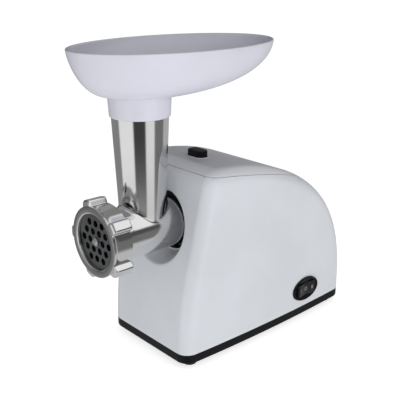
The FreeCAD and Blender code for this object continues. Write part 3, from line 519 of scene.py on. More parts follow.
def circleThrough(points):
    # centre and radius of the circle through three points
    (x0, y0), (x1, y1), (x2, y2) = points
    m = np.array([[x1 - x0, y1 - y0], [x2 - x0, y2 - y0]]) * 2
    v = np.array([x1 ** 2 - x0 ** 2 + y1 ** 2 - y0 ** 2, x2 ** 2 - x0 ** 2 + y2 ** 2 - y0 ** 2])
    cx, cy = np.linalg.solve(m, v)
    return cx, cy, math.hypot(x0 - cx, y0 - cy)


seamY, seamZ, seamR = circleThrough(lid["seam"])


def seamHeight(y, drop):
    # the joint between cover and shell is an arc seen from the side
    return seamZ + np.sqrt(seamR ** 2 - (y - seamY) ** 2) - drop


def seamRange(drop):
    # the two lengths along the profile where it crosses the joint
    hits = np.nonzero(fineZ > seamHeight(fineY, drop))[0]
    return fine[hits[0]], fine[hits[-1]]


def seamAngle(s, drop):
    # how far round the edge's rounding, 0 to 90 degrees, the joint lies at a length s
    y, z, ny, nz = onProfile(s)
    depth = lastInside(lambda d: z - nz * d > seamHeight(y - ny * d, drop),
                       np.zeros_like(s), np.full_like(s, body["corner"]))
    return np.arccos(np.clip(1 - depth / body["corner"], -1, 1))


def bandHalf(y, ny):
    # half the width of the band between the two roundings
    return halfWidth(y - ny * body["corner"]) - body["corner"]


def skin(s, x=None, turn=None, sign=1.0):
    # a point of the body: x across the band at length s, or turn round the edge's rounding, 0 at the band
    y, z, ny, nz = onProfile(s)
    if turn is None:
        return np.stack([x * np.ones_like(y), y * np.ones_like(x), z * np.ones_like(x)], -1)
    depth = body["corner"] * (1 - np.cos(turn))
    across = bandHalf(y, ny) + body["corner"] * np.sin(turn)
    return np.stack([sign * across, y - ny * depth, z - nz * depth], -1)


def lengthAtHeight(z, rear=False):
    # length along the profile at a height, on its front or its rear
    if rear:
        return float(np.interp(-z, -fineZ[rearHalf], fine[rearHalf]))
    half = len(fine) // 2
    return float(np.interp(z, fineZ[:half], fine[:half]))


def bandColumns(s, fixed):
    # x across the band, fixed in the middle, then spread out to the rounding; first and last fixed column
    y, z, ny, nz = onProfile(s)
    middle = spaced([-fixed, fixed], body["bandStep"])
    t = np.linspace(0, 1, body["spread"] + 1)[1:]
    right = fixed + (bandHalf(y, ny)[:, None] - fixed) * t
    x = np.concatenate([-right[:, ::-1], np.broadcast_to(middle, (len(s), len(middle))), right], axis=1)
    return x, body["spread"], body["spread"] + len(middle) - 1


def openGrid(grid, block, plane):
    # a grid with one block left out; with the block's edge in space and in a plane
    edge = grid[blockLoop(*block)]
    return sheet(grid, [block]), edge, edge[:, plane]


dish = {"floorY": -0.0495, "floorRadius": 0.0294, "midRadius": 0.0355, "midY": -0.066, "slope": (0.043, -0.090),
        "lip": 0.0016, "tuck": 0.42, "widest": 0.041, "block": (0.079, 0.1645), "halfX": 0.040,
        "floor": ((0.02935, 0.0002), (0.0290, 0.0), (0.0283, 0.0), (0.0278, 0.0))}  # radius, rise


def frontParts(s0):
    # the front band: x across, length s up the profile; straight lines run from its open block to a round
    # hollow: a parabola over the lip, a cone whose depth is read off its radius, and a floor round the hole
    d = dish
    a, b = (lengthAtHeight(z) for z in d["block"])
    rows = spaced([0, a, b, s0], body["frontStep"])
    x, j0, j1 = bandColumns(rows, d["halfX"])
    block = (nearest(rows, a), nearest(rows, b), j0, j1)
    band, edge, flat = openGrid(skin(rows[:, None], x=x), block, [0, 2])
    turn = np.arctan2(flat[:, 1] - axisZ, flat[:, 0])
    frontY = lambda z: np.interp(z, fineZ[frontPart], fineY[frontPart])
    place = lambda p: lifted(p, 1, frontY(p[..., 1]))
    coneY = lambda r: np.interp(r, [d["floorRadius"], d["midRadius"], d["slope"][0]],
                                [d["floorY"], d["midY"], d["slope"][1]])
    ring = lambda r: oval(turn, r, (0, axisZ))
    onCone = lambda r: lifted(ring(r), 1, coneY(r))
    lip = lastInside(lambda r: coneY(r) > frontY(axisZ + r * np.sin(turn)),
                     np.full(len(turn), d["floorRadius"]), np.full(len(turn), d["widest"]))
    inside, outside = lip - d["lip"] * d["tuck"], ring(lip + d["lip"])
    rounding = parabola(np.linspace(0, 1, 6)[:, None, None], place(outside), onCone(lip), onCone(inside))
    radii = d["floorRadius"] + (inside - d["floorRadius"]) * np.linspace(1, 0.12, 8)[1:, None]
    cone = [onCone(r) for r in radii]
    floor = [lifted(ring(r), 1, d["floorY"] - rise) for r, rise in d["floor"]]
    return [band, holePatch(edge, flat, outside, place, 9), joined([*rounding, *cone, *floor])]


inlet = {"x": -0.020, "z": 0.032, "hole": 0.0066, "block": (0.046, 0.018), "halfX": 0.012, "middle": 0.036}


def rearParts(s1):
    # the rear band: x across, length s down the profile; straight lines run from its open block to a round hole
    a, b = (lengthAtHeight(z, rear=True) for z in inlet["block"])
    rows = spaced([s1, a, b, fine[-1]], body["rearStep"])
    x = bandColumns(rows, inlet["middle"])[0]
    columns = (nearest(x[0], inlet["x"] + reach) for reach in (-inlet["halfX"], inlet["halfX"]))
    block = (nearest(rows, a), nearest(rows, b), *columns)
    band, edge, flat = openGrid(skin(rows[:, None], x=x), block, [0, 2])
    turn = np.arctan2(flat[:, 1] - inlet["z"], flat[:, 0] - inlet["x"])
    hole = oval(turn, inlet["hole"], (inlet["x"], inlet["z"]))
    rearY = lambda z: np.interp(-z, -fineZ[rearHalf], fineY[rearHalf])
    place = lambda p: lifted(p, 1, rearY(p[..., 1]))
    return [band, holePatch(edge, flat, hole, place, 5)]


bezelLow, bezelHigh = nodeSpan("switch_bezel")
switch = {"y": float(bezelLow[1] + bezelHigh[1]) / 2, "z": float(bezelLow[2] + bezelHigh[2]) / 2,
          "halfY": 0.019, "halfZ": 0.0125, "neck": 0.0017}
side = {"centreY": 0.030, "columns": (4, 16), "block": (math.radians(52.0), math.radians(3.0)),
        "stops": np.concatenate([np.linspace(0, 0.24, 5), np.linspace(0.24, 0.80, 13)[1:],
                                 np.linspace(0.80, 1, 5)[1:]]), "plainStops": np.linspace(0, 1, 18)}


def sideParts(s0, s1, drop):
    # both sides: rays from a point on the foot line out to the rounding, x from the bowed width, then the
    # rounding turn by turn up to the joint; on the right, straight lines run from a block to the switch's oval
    rows = np.unique(np.concatenate([spaced([0, s0], body["frontStep"]), spaced([s0, s1], body["topStep"]),
                                     spaced([s1, fine[-1]], body["rearStep"])]))
    y, z, ny, nz = onProfile(rows)
    rimY, rimZ = y - ny * body["corner"], z - nz * body["corner"]
    rimZ[[0, -1]] = body["foot"]
    least = np.where((rows > s0) & (rows < s1), seamAngle(rows, drop), 0.0)[:, None]
    turns = least + (pi / 2 - least) * np.linspace(1, 0, 9)
    parts = []
    for sign, t in ((-1.0, side["plainStops"]), (1.0, side["stops"])):
        rayY = side["centreY"] + (rimY - side["centreY"])[:, None] * t
        rayZ = body["foot"] + (rimZ - body["foot"])[:, None] * t
        wall = np.stack([sign * halfWidth(rayY), rayY, rayZ], -1)
        rounding = skin(rows[:, None], turn=turns, sign=sign)
        rounding[:, 0] = wall[:, -1]
        parts += [sheet(rounding), sheet(wall)]
    angle = np.arctan2(rimZ - body["foot"], rimY - side["centreY"])
    block = (*(nearest(angle, a) for a in side["block"]), *side["columns"])
    parts[-1], edge, flat = openGrid(wall, block, [1, 2])
    turn = np.arctan2((flat[:, 1] - switch["z"]) / switch["halfZ"], (flat[:, 0] - switch["y"]) / switch["halfY"])
    halves = switch["halfY"] - switch["neck"], switch["halfZ"] - switch["neck"]
    hole = oval(turn, halves, (switch["y"], switch["z"]))
    place = lambda p: lifted(p, 0, halfWidth(p[..., 0]))
    return parts + [holePatch(edge, flat, hole, place, 7)]


def housingParts(drop):
    s0, s1 = seamRange(drop)
    return frontParts(s0) + rearParts(s1) + sideParts(s0, s1, drop)


print("body form worked out")

button = {"y": -0.0155, "halfX": 0.0095, "halfY": 0.0060, "corner": 0.004, "footZ": 0.1716, "topZ": 0.1862,
          "edge": 0.0012, "flange": 0.0018, "flangeZ": 0.0015, "stemR": 0.0022, "stemZ": (0.1698, 0.1718),
          "holeX": 0.0099, "holeY": 0.0064, "holeCorner": 0.0044, "steps": 72, "crown": 0.0003,
          "sideZ": (0.0016, 0.003), "inner": (0.0030, 0.00008),
          "collar": ((0.0016, 0.0), (0.0013, 0.0001), (0.0011, 0.0004), (0.0008, 0.0006), (0.0003, 0.0006),
                     (0.0, 0.0003), (0.0, -0.0006))}  # growth, rise


def lidParts():
    # the cover between the joints: rounding, band and rounding again in each row, at a length s of the profile;
    # straight lines run from its open block to a raised lip round the button
    s0, s1 = seamRange(0.0)
    crown = fine > fine[np.argmax(fineZ)] - lid["crown"]
    a, b = (float(np.interp(button["y"] + reach, fineY[crown], fine[crown]))
            for reach in (-lid["margin"], lid["margin"]))
    rows = spaced([s0, a, b, s1], lid["step"])
    x, j0, j1 = bandColumns(rows, lid["halfX"])
    turns = seamAngle(rows, 0.0)[:, None] * np.linspace(0, 1, lid["turns"] + 1)
    turns[[0, -1]] = 0.0
    left, right = (skin(rows[:, None], turn=turns, sign=sign) for sign in (-1.0, 1.0))
    grid = np.concatenate([left[:, :0:-1], skin(rows[:, None], x=x), right[:, 1:]], axis=1)
    block = (nearest(rows, a), nearest(rows, b), j0 + lid["turns"], j1 + lid["turns"])
    cover, edge, flat = openGrid(grid, block, [0, 1])
    turn = np.arctan2(flat[:, 1] - button["y"], flat[:, 0])
    place = lambda p: lifted(p, 2, np.interp(p[..., 1], fineY[crown], fineZ[crown]))
    outline = lambda grow: [0, button["y"]] + roundedRect(button["holeX"] + grow, button["holeY"] + grow,
                                                          button["holeCorner"] + grow, turn)
    collar = [place(outline(grow)) + [0, 0, rise] for grow, rise in button["collar"]]
    return [cover, holePatch(edge, flat, outline(button["collar"][0][0]), place, 4), joined(collar)]


trayLow, trayHigh = nodeSpan("hopper_tray")
tray = {"tubeY": -0.081, "neck": 0.0274, "frontY": float(trayLow[1]), "rearY": float(trayHigh[1]),
        "halfX": float(trayHigh[0]), "footZ": 0.2454, "rimZ": float(trayHigh[2]), "wall": 0.0022, "steps": 160,
        "front": (1.5, 2.25), "rear": (2.15, 2.55), "side": (1.4, 2.05), "inside": 0.945,
        "collar": ((0.02535, 0.2271), (0.0260, 0.22712), (0.0264, 0.2275), (0.02647, 0.2282)),  # radius, height
        "collarTop": (0.02732, 0.2445), "throat": ((0.0240, 0.0), (0.0231, 0.0), (0.0226, -0.0002),
                                                   (0.0222, -0.0008)),
        "seat": ((0.0222, 0.2433), (0.0253, 0.2433), (0.0253, 0.2360), (0.02535, 0.2271))}


def bowlRing(v, inset, turn):
    # an ellipse at the share v of the bowl's height; it reaches out by (1 - (1 - v)^p)^(1/q), with p and q such
    # that its front grows fast and round and its rear long and shallow
    reach = lambda way: (1 - (1 - v) ** tray[way][0]) ** (1 / tray[way][1])
    neckFront, neckRear = tray["tubeY"] - tray["neck"], tray["tubeY"] + tray["neck"]
    front = neckFront + (tray["frontY"] - neckFront) * reach("front")
    rear = neckRear + (tray["rearY"] - neckRear) * reach("rear")
    halfX = tray["neck"] + (tray["halfX"] - tray["neck"]) * reach("side")
    z = tray["footZ"] + (tray["rimZ"] - tray["footZ"]) * v
    halves = halfX - inset, (rear - front) / 2 - inset
    return lifted(oval(turn, halves, (0, (front + rear) / 2)), 2, z)


def trayParts():
    # rings up the collar and the bowl's outside, over the rim, down its inside and the throat, and back
    turn, wall = circleTurns(tray["steps"]), tray["wall"]
    circle = lambda r, z: lifted(oval(turn, r, (0, tray["tubeY"])), 2, z)
    heights = np.concatenate([[0.0, 0.002, 0.006, 0.013, 0.025], np.linspace(0.04, 0.2, 9),
                              np.linspace(0.24, 0.975, 20)])
    foot, top = np.array(tray["collar"][-1]), np.array(tray["collarTop"])
    rings = [circle(*at) for at in tray["collar"]]
    rings += [circle(*(foot + (top - foot) * t)) for t in (0.35, 0.7, 1.0)]
    rings += [bowlRing(v, 0.0, turn) for v in heights]
    for angle in np.radians([20, 45, 70, 110, 135, 160]):  # the rounded rim
        rim = bowlRing(1.0, wall / 2 * (1 - math.cos(angle)), turn)
        rings.append(rim + [0, 0, wall / 2 * (math.sin(angle) - 1)])
    rings += [bowlRing(v * tray["inside"], wall, turn) + [0, 0, wall] for v in heights[::-1]]
    rings += [circle(r, tray["footZ"] + wall + rise) for r, rise in tray["throat"]]
    rings += [circle(*at) for at in tray["seat"]]
    return [joined(rings)]


head = {"tubeY": -0.081, "barrelR": 0.0235, "boreR": 0.0205, "threadR": 0.0286, "rearY": -0.0426,
        "footR": 0.0212, "footZ": 0.1481, "flare": 0.0468, "topZ": 0.243, "wall": 0.0022,
        "soft": 0.005, "boreSoft": 0.0004, "blockY": (-0.052, -0.112), "boreBlockY": (-0.104, -0.058),
        "blockTurns": (4, 44), "blockRows": 20, "screwR": 0.012, "rearWallY": -0.0515,
        "rearEdge": ((-0.001, 0.0), (-0.0002, -0.0002), (0.0, -0.001)),  # growth, place past the rear
        "neckY": (-0.1130, -0.1158, -0.1194, -0.1220), "neckR": 0.0022,
        "mouth": ((0.0286, -0.126), (0.0286, -0.1296), (0.0282, -0.130), (0.0274, -0.130), (0.0271, -0.1267),
                  (0.0249, -0.1267), (0.0249, -0.1216), (0.0205, -0.1216)),  # radius, place
        "rim": ((0.0249, -0.0006), (0.0246, 0.0), (0.0231, 0.0), (0.0228, -0.0006)),  # radius, place past the top
        "lugR": 0.0262, "lugY": -0.0456, "lugTurn": 13.0, "lugAt": (90, 270), "lugEdge": 0.0005,
        "lugSink": 0.001}
tee = {"samples": 600, "startR": 0.016, "farthest": 0.034, "almost": 0.9995, "overlap": 0.0001, "levels": 22}


def teeParts(barrelR, tubeR, topZ, block, grid, soft):
    # a tube standing on a barrel: rays leave the tube's axis at the angles of the barrel's open block; on each,
    # the tube's line and the barrel's curve are joined by a parabola tangent to both, then followed to the edge
    edge = grid[blockLoop(*block)]
    arcX = barrelR * np.arctan2(edge[:, 0], edge[:, 2] - axisZ)
    turn = np.arctan2(edge[:, 1] - head["tubeY"], arcX)
    c = np.cos(turn)[:, None]
    share = np.linspace(0, 1, tee["samples"])[None, :]
    far = np.minimum(tee["almost"] * barrelR / np.maximum(np.abs(c), 1e-6), tee["farthest"])
    r = tee["startR"] + (far - tee["startR"]) * (1 - (1 - share) ** 2)
    z = axisZ + np.sqrt(np.maximum(barrelR ** 2 - (r * c) ** 2, 0))
    meet = np.argmax(r > tubeR(z), axis=1)  # where the barrel's curve leaves the tube
    k = np.arange(len(turn))
    steps = np.hypot(np.diff(r, axis=1), np.diff(z, axis=1))
    run = np.concatenate([np.zeros((len(turn), 1)), np.cumsum(steps, axis=1)], 1)
    slopeR, slopeZ = np.gradient(r, axis=1)[k, meet], np.gradient(z, axis=1)[k, meet]
    bend = np.arccos(np.clip(-slopeZ / np.hypot(slopeR, slopeZ), -1, 1))
    reach = soft * np.tan(bend / 2) + tee["overlap"]
    end = np.array([int(np.searchsorted(a, a[m] + d)) for a, m, d in zip(run, meet, reach)])
    end = end.clip(0, tee["samples"] - 2)
    r2, z2 = r[k, end], z[k, end]
    toR, toZ = r[k, end + 1] - r2, z[k, end + 1] - z2
    t = (tubeR(z2) - r2) / (toR - head["flare"] * toZ)  # the barrel's tangent line meets the tube's line
    r1, z1 = r2 + t * toR, z2 + t * toZ
    z0 = z1 + np.hypot(r2 - r1, z2 - z1)
    u = np.linspace(0, 1, 9)[:, None]
    bent = np.stack([parabola(u, tubeR(z0), r1, r2), parabola(u, z0, z1, z2)], -1)
    tubeZ = topZ + (z0 - topZ) * np.linspace(0, 1, tee["levels"])[:-1, None]
    line = np.concatenate([np.stack([tubeR(tubeZ), tubeZ], -1), bent])
    upper = lifted(oval(turn, line[..., 0], (0, head["tubeY"])), 2, line[..., 1])
    foot = upper[-1]
    footArc = barrelR * np.arcsin(np.clip(foot[:, 0] / barrelR, -1, 1))
    u = np.linspace(0, 1, 5)[1:, None]
    arc = footArc + (arcX - footArc) * u
    along = foot[:, 1] + (edge[:, 1] - foot[:, 1]) * u
    lower = np.stack([barrelR * np.sin(arc / barrelR), along, axisZ + barrelR * np.cos(arc / barrelR)], -1)
    return joined([*upper, *lower])


def headParts():
    # the barrel's outline is carried round its axis, with a block left open in and outside its wall for the tube
    h = head
    outside, inside = (np.linspace(*h[key], h["blockRows"] + 1) for key in ("blockY", "boreBlockY"))
    rows = [(h["screwR"], h["rearY"])] + [(h["barrelR"] + r, h["rearY"] + y) for r, y in h["rearEdge"]]
    first = len(rows)
    rows += [(h["barrelR"], y) for y in outside]
    neckR = (h["barrelR"], h["barrelR"], h["threadR"], h["threadR"])
    rows += [*rounded(list(zip(neckR, h["neckY"])), h["neckR"], 3), *h["mouth"]]
    second = len(rows)
    rows += [(h["boreR"], y) for y in inside]
    rows += [(h["boreR"], h["rearWallY"]), (h["screwR"], h["rearWallY"]), (h["screwR"], h["rearY"])]
    barrel, _ = turned(rows, (0, 0, axisZ))
    blocks = [(*h["blockTurns"], row, row + h["blockRows"]) for row in (first, second)]
    tubeR = lambda z: h["footR"] + (z - h["footZ"]) * h["flare"]
    topZ = h["topZ"] + h["rim"][0][1]
    outer = teeParts(h["barrelR"], tubeR, topZ, blocks[0], barrel, h["soft"])
    inner = teeParts(h["boreR"], lambda z: tubeR(z) - h["wall"], topZ, blocks[1], barrel, h["boreSoft"])
    lastOuter, lastInner = outer[0][0], inner[0][0, ::-1]  # the bore's columns run the other way
    a, b = (np.arctan2(ring[:, 1] - h["tubeY"], ring[:, 0]) for ring in (lastOuter, lastInner))
    rims = [lifted(oval(a, r, (0, h["tubeY"])), 2, h["topZ"] + rise) for r, rise in h["rim"]]
    order = np.argsort(b)
    bore = np.stack([np.interp(a, b[order], lastInner[order, k], period=2 * pi) for k in range(3)], -1)
    parts = [(barrel, gridFaces(*barrel.shape[:2], closeRows=True, skip=blocks)), outer, inner,
             joined([lastOuter, *rims]), joined([rims[-1], bore])]
    for middle in h["lugAt"]:  # the two lugs that turn into the socket
        angle = np.radians(np.linspace(middle - h["lugTurn"], middle + h["lugTurn"], 15))[:, None]
        low = h["barrelR"] - h["lugSink"]
        section = rounded([(low, h["lugY"]), (h["lugR"], h["lugY"]), (h["lugR"], h["rearY"]), (low, h["rearY"])],
                          h["lugEdge"], 2, closed=True)
        r, y = section[:, 0][None, :], np.broadcast_to(section[:, 1], (15, len(section)))
        lug = np.stack([r * np.cos(angle), y, axisZ + r * np.sin(angle)], -1)
        ends = [np.repeat(lug[k].mean(0)[None], len(section), 0) for k in (0, -1)]
        parts.append(joined([ends[0], *lug, ends[1]]))
    return parts


nut = {"bodyR": 0.0306, "rimR": 0.0316, "tipR": 0.0368, "mouthR": 0.025, "threadR": 0.02895, "lugs": 5,
       "lugHalf": 0.0052, "rootRound": 0.0016, "tipRound": 0.0024, "rootFrom": (0.9962, 0.00225),
       "firstLug": 108.0,
       "frontY": -0.1346, "rearY": -0.1154, "seatY": -0.1315, "threadY": -0.1200,
       "lip": ((0.0, 0.0009), (0.0002, 0.0006), (0.0016, 0.0001), (0.0019, 0.0)),  # growth, place past the front
       "face": ((0.0290, 0.0), (0.0307, 0.0), (0.0312, 0.00015), (0.0316, 0.0006)),  # radius, place past the front
       "back": ((0.0302, 0.0002), (0.0299, 0.0), (0.02895, 0.0)),  # radius, place past the rear
       # inset from the lugs (1 is all of them), place past the front, share of the rim in the body's radius
       "sides": ((1.0, 0.00098, 1), (0.0032, 0.0010, 1), (0.0019, 0.0012, 1), (0.0010, 0.0016, 1),
                 (0.0003, 0.0023, 1), (0.0, 0.0031, 0.4), (0.0, 0.0036, 0), (0.0, 0.0080, 0), (0.0, 0.0130, 0),
                 (0.0, 0.0180, 0), (0.0004, 0.0190, 0), (0.0012, 0.01945, 0), (0.0022, 0.0196, 0))}


def nutParts():
    # an outline with five lugs, as radii at fixed angles; rings of it run from the mouth over the front to the
    # back and through
    n = nut
    half, front, rear = n["lugHalf"], n["frontY"], n["rearY"]
    rootX = math.sqrt(n["bodyR"] ** 2 - half ** 2)
    before = rootX * n["rootFrom"][0], half + n["rootFrom"][1]
    corner = rounded([before, (rootX, half), (n["tipR"], half), (n["tipR"], 0.0)],
                     [0, n["rootRound"], n["tipRound"], 0], 5)
    root = math.atan2(corner[0, 1], corner[0, 0])
    between = np.linspace(pi / n["lugs"], root, 12)[:-1]
    valley = oval(between, n["bodyR"])
    corner[0] = oval(root, n["bodyR"])
    lower = np.concatenate([valley, corner])  # from between two lugs to the middle of a lug's tip
    lug = np.concatenate([lower, lower[::-1][1:-1] * [1, -1]])
    angle, radius = np.arctan2(lug[:, 1], lug[:, 0]), np.hypot(lug[:, 0], lug[:, 1])
    middle = np.radians(n["firstLug"] + 360 / n["lugs"] * np.arange(n["lugs"]))[:, None]
    turn, radius = (middle - angle[None]).ravel(), np.tile(radius, n["lugs"])
    circle = lambda r, y: lifted(oval(turn, r, (0, axisZ)), 1, y)
    rings = [circle(n["mouthR"], n["seatY"])]
    rings += [circle(n["mouthR"] + r, front + y) for r, y in n["lip"]]
    rings += [circle(r, front + y) for r, y in n["face"]]
    for inset, y, rim in n["sides"]:
        floor = n["bodyR"] + (n["rimR"] - n["bodyR"]) * rim
        rings.append(circle(np.maximum(radius - inset, floor), front + y))
    rings += [circle(r, rear + y) for r, y in n["back"]]
    rings += [circle(n["threadR"], n["threadY"]), circle(n["threadR"], n["seatY"])]
    rings.append(circle(n["mouthR"], n["seatY"]))
    return [joined(rings)]


def buttonParts():
    # rounded rectangles up the sides, over the rounded edge and in to a slightly crowned top; and a round stem
    b = button
    turn = circleTurns(b["steps"])
    point = lambda z: np.zeros((b["steps"], 3)) + [0, b["y"], z]
    ring = lambda grow, z: point(z) + np.pad(roundedRect(b["halfX"] + grow, b["halfY"] + grow,
                                                         b["corner"] + grow, turn), ((0, 0), (0, 1)))
    rings = [point(b["footZ"]), ring(b["flange"], b["footZ"]), ring(b["flange"], b["footZ"] + b["flangeZ"]),
             ring(0.0, b["footZ"] + b["sideZ"][0])]
    rings += [ring(0.0, z) for z in np.linspace(b["footZ"] + b["sideZ"][1], b["topZ"] - b["edge"], 5)]
    for angle in np.radians([22, 45, 68, 90]):
        z = b["topZ"] - b["edge"] * (1 - math.sin(angle)) - b["crown"]
        rings.append(ring(-b["edge"] * (1 - math.cos(angle)), z))
    rings += [ring(-b["inner"][0], b["topZ"] - b["inner"][1]), point(b["topZ"])]
    foot, top = b["stemZ"]
    stem = turned([(0.0, foot), (b["stemR"], foot), (b["stemR"], top), (0.0, top)], (0, b["y"], 0), True, 32)
    return [joined(rings), stem]


bezel = {"frontX": 0.0603, "backX": 0.0505, "windowY": 0.0132, "windowZ": 0.0070, "windowCorner": 0.0016,
         "steps": 96,
         "outside": ((-0.002, 0.0040), (0, 0.0038), (0, 0.0012), (-0.0001, 0.0007), (-0.0004, 0.00025),
                     (-0.0009, 0), (-0.0016, 0.0001)),  # growth, depth
         "window": ((0.0022, 0.0007), (0.0006, 0.0008), (0.0001, 0.0011), (0, 0.0016))}


def bezelParts():
    # rings of an oval outside and a rounded rectangle inside, across the front face
    b, turn = bezel, circleTurns(bezel["steps"])
    centre = np.array([switch["y"], switch["z"]])
    outside = lambda grow, x: lifted(oval(turn, (switch["halfY"] + grow, switch["halfZ"] + grow), centre), 0, x)
    window = lambda grow, x: lifted(centre + roundedRect(b["windowY"] + grow, b["windowZ"] + grow,
                                                         b["windowCorner"] + grow, turn), 0, x)
    back = outside(b["outside"][0][0], b["backX"])
    return [joined([back, *(outside(grow, b["frontX"] - depth) for grow, depth in b["outside"]),
                    *(window(grow, b["frontX"] - depth) for grow, depth in b["window"]),
                    window(0, b["backX"]), back])]


rocker = {"halfY": 0.0126, "halfZ": 0.0066, "tipX": 0.0620, "dip": 0.0026, "backX": 0.052, "backY": 0.008,
          "sideX": 0.057, "lean": 0.001, "middle": (0.0565, 0.0),
          "rounding": [0.0005, 0.001, 0.0012, 0.02, 0.0012, 0.001, 0.0005],
          "sections": ((0.0, 1.0), (0.9, 1.0), (0.96, 0.965), (0.99, 0.93), (1.0, 0.86), (1.0, 0.3))}  # size, place


def rockerParts():
    # the rocker's outline, higher at both ends, carried across its width with rounded edges
    r = rocker
    low = [(r["backX"], -r["backY"]), (r["sideX"], -r["halfY"]), (r["tipX"], -r["halfY"] + r["lean"])]
    high = [(x, -y) for x, y in low[::-1]]
    outline = rounded(low + [(r["tipX"] - r["dip"], 0.0)] + high, r["rounding"], 6, closed=True)
    rings = []
    for share, z in [(share, -z) for share, z in r["sections"]] + list(r["sections"][::-1]):
        flat = r["middle"] + (outline - r["middle"]) * share + [0, switch["y"]]
        rings.append(lifted(flat, 2, switch["z"] + z * r["halfZ"]))
    return [joined(rings)]


# finishes
# the cover's two colours are painted light: its flat top in painted shade, its rounded band with painted sheen
colors = {"shell": (0.60, 0.62, 0.655), "lidFacePaintedShade": (0.48, 0.485, 0.505), "lidRimPaintedSheen": (0.58, 0.59, 0.615),
          "tray": (0.57, 0.575, 0.645), "black": (0.005, 0.005, 0.006), "rubber": (0.015, 0.015, 0.016),
          "cast": (0.80, 0.80, 0.80), "steel": (0.62, 0.62, 0.62), "plate": (0.17, 0.175, 0.18),
          "nylon": (0.80, 0.78, 0.70), "gear": (0.05, 0.05, 0.055), "case": (0.30, 0.31, 0.32),
          "iron": (0.35, 0.35, 0.37), "zinc": (0.66, 0.67, 0.70), "copper": (0.72, 0.30, 0.12),
          "bronze": (0.55, 0.38, 0.20), "carbon": (0.04, 0.04, 0.042), "mark": (0.30, 0.30, 0.31)}
rotorZ = 0.062  # height of the motor's axis
finishes = {
    "shell": mouldedPlastic("shellPlastic", colors["shell"], 0.24),
    "lid": lidPaintedShadePlastic("lidPaintedShadePlastic", colors["lidFacePaintedShade"], colors["lidRimPaintedSheen"], 0.34),
    "tray": mouldedPlastic("trayPlastic", colors["tray"], 0.2),
    "black": mouldedPlastic("blackPlastic", colors["black"], 0.34, grain=0.00001, tone=0.15, specular=0.14),
    "rubber": mattFinish("footRubber", colors["rubber"], 0.7),
    "cast": turnedMetal("polishedCasting", colors["cast"], 0.10),
    "nut": turnedMetal("turnedNut", colors["cast"], 0.12, rings=0.5, faceY=-0.1343),
    "steel": plainMetal("brightSteel", colors["steel"], 0.24, (1, 0.2, 1)),
    "plate": turnedMetal("groundPlate", colors["plate"], 0.32, rings=1.0),
    "nylon": mouldedPlastic("whiteNylon", colors["nylon"], 0.45),
    "gear": mouldedPlastic("filledNylon", colors["gear"], 0.45, grain=0.00002, tone=0.1),
    "case": mouldedPlastic("gearCasePlastic", colors["case"], 0.5, grain=0.00002),
    "iron": laminated("sheetIron", colors["iron"], 0.45),
    "zinc": plainMetal("zincPlate", colors["zinc"], 0.38),
    "copper": woundWire("enamelledWire", colors["copper"], rotorZ),
    "bronze": mattFinish("porousBronze", colors["bronze"], 0.5, 1500.0, metallic=0.9),
    "carbon": mattFinish("pressedCarbon", colors["carbon"], 0.75, 2000.0),
}
looks = {
    "shell": "housing_shell", "lid": "top_cover", "tray": "hopper_tray", "rubber": "rubber_feet motor_cushions",
    "cast": "grinder_head", "nut": "ring_nut", "plate": "cutting_plate",
    "nylon": "screw_bush brush_holders output_gear", "gear": "second_gear first_gear cooling_fan",
    "steel": "feed_screw cross_knife rocker_pin latch_lever latch_pivot latch_pin gear_axles rotor_shaft "
             "button_spring brush_springs",
    "case": "gearbox_case gearbox_cover", "iron": "rotor_core stator_core",
    "zinc": "base_screws gearbox_screws motor_screws motor_front_bracket motor_rear_bracket motor_bearings "
            "motor_pinion switch_terminals",
    "copper": "rotor_windings field_coils commutator", "bronze": "output_bushes", "carbon": "carbon_brushes",
}
finishOf = {name: finish for finish, names in looks.items() for name in names.split()}
for name, node in nodes.items():  # what has no entry of its own is black plastic
    node.data.materials.clear()
    node.data.materials.append(finishes[finishOf.get(name, "black")].material)
print("finishes ready")

marks = {"bars": (-0.0085, 0.0079, 0.0091), "barEdge": (0.00022, 0.00036), "barEnd": (0.0019, 0.0021),
         "ringR": 0.0017, "ringEdge": (0.0002, 0.00036), "front": (0.0580, 0.0584)}


def markedBlack():
    # the rocker's black plastic with three worn grey marks along it: a bar, a ring and two bars
    finish = mouldedPlastic("rockerPlastic", colors["black"], 0.3, tone=0.1)
    x, y, z = finish.axes()
    across, up = y - switch["y"], z - switch["z"]
    shown = 1 - (across.length(up) - marks["ringR"]).size().step(*marks["ringEdge"])
    for at in marks["bars"]:
        bar = 1 - (across - at).size().step(*marks["barEdge"])
        shown = shown + bar * (1 - up.size().step(*marks["barEnd"]))
    front = x.step(*marks["front"])
    finish.feed("Base Color", finish.blend(shown * front, colors["black"], colors["mark"]))
    return finish


# pieces
finishes["rocker"] = markedBlack()
thicken(makePiece("housingShell", housingParts(lid["gap"]), "shell", "housing", "housing_shell"))
thicken(makePiece("coverLid", lidParts(), "lid", "housing", "top_cover"))
makePiece("hopperTray", trayParts(), "tray", "tray", "hopper_tray", 50)
makePiece("grinderCasting", headParts(), "cast", "head", "grinder_head")
makePiece("ringNut", nutParts(), "nut", "nut", "ring_nut", 40)
makePiece("releaseButton", buttonParts(), "black", "button", "release_button", 50)
makePiece("switchBezel", bezelParts(), "black", "housing", "switch_bezel")
makePiece("rockerSwitch", rockerParts(), "rocker", "rocker", "rocker_switch", 40)

springLow, springHigh = nodeSpan("button_spring")
coil = {"y": button["y"], "r": 0.0026, "wireR": 0.00035, "turns": 4, "footZ": float(springLow[2]),
        "height": float(springHigh[2] - springLow[2]), "pressed": 0.62, "stepsPerTurn": 28, "wireSteps": 8}


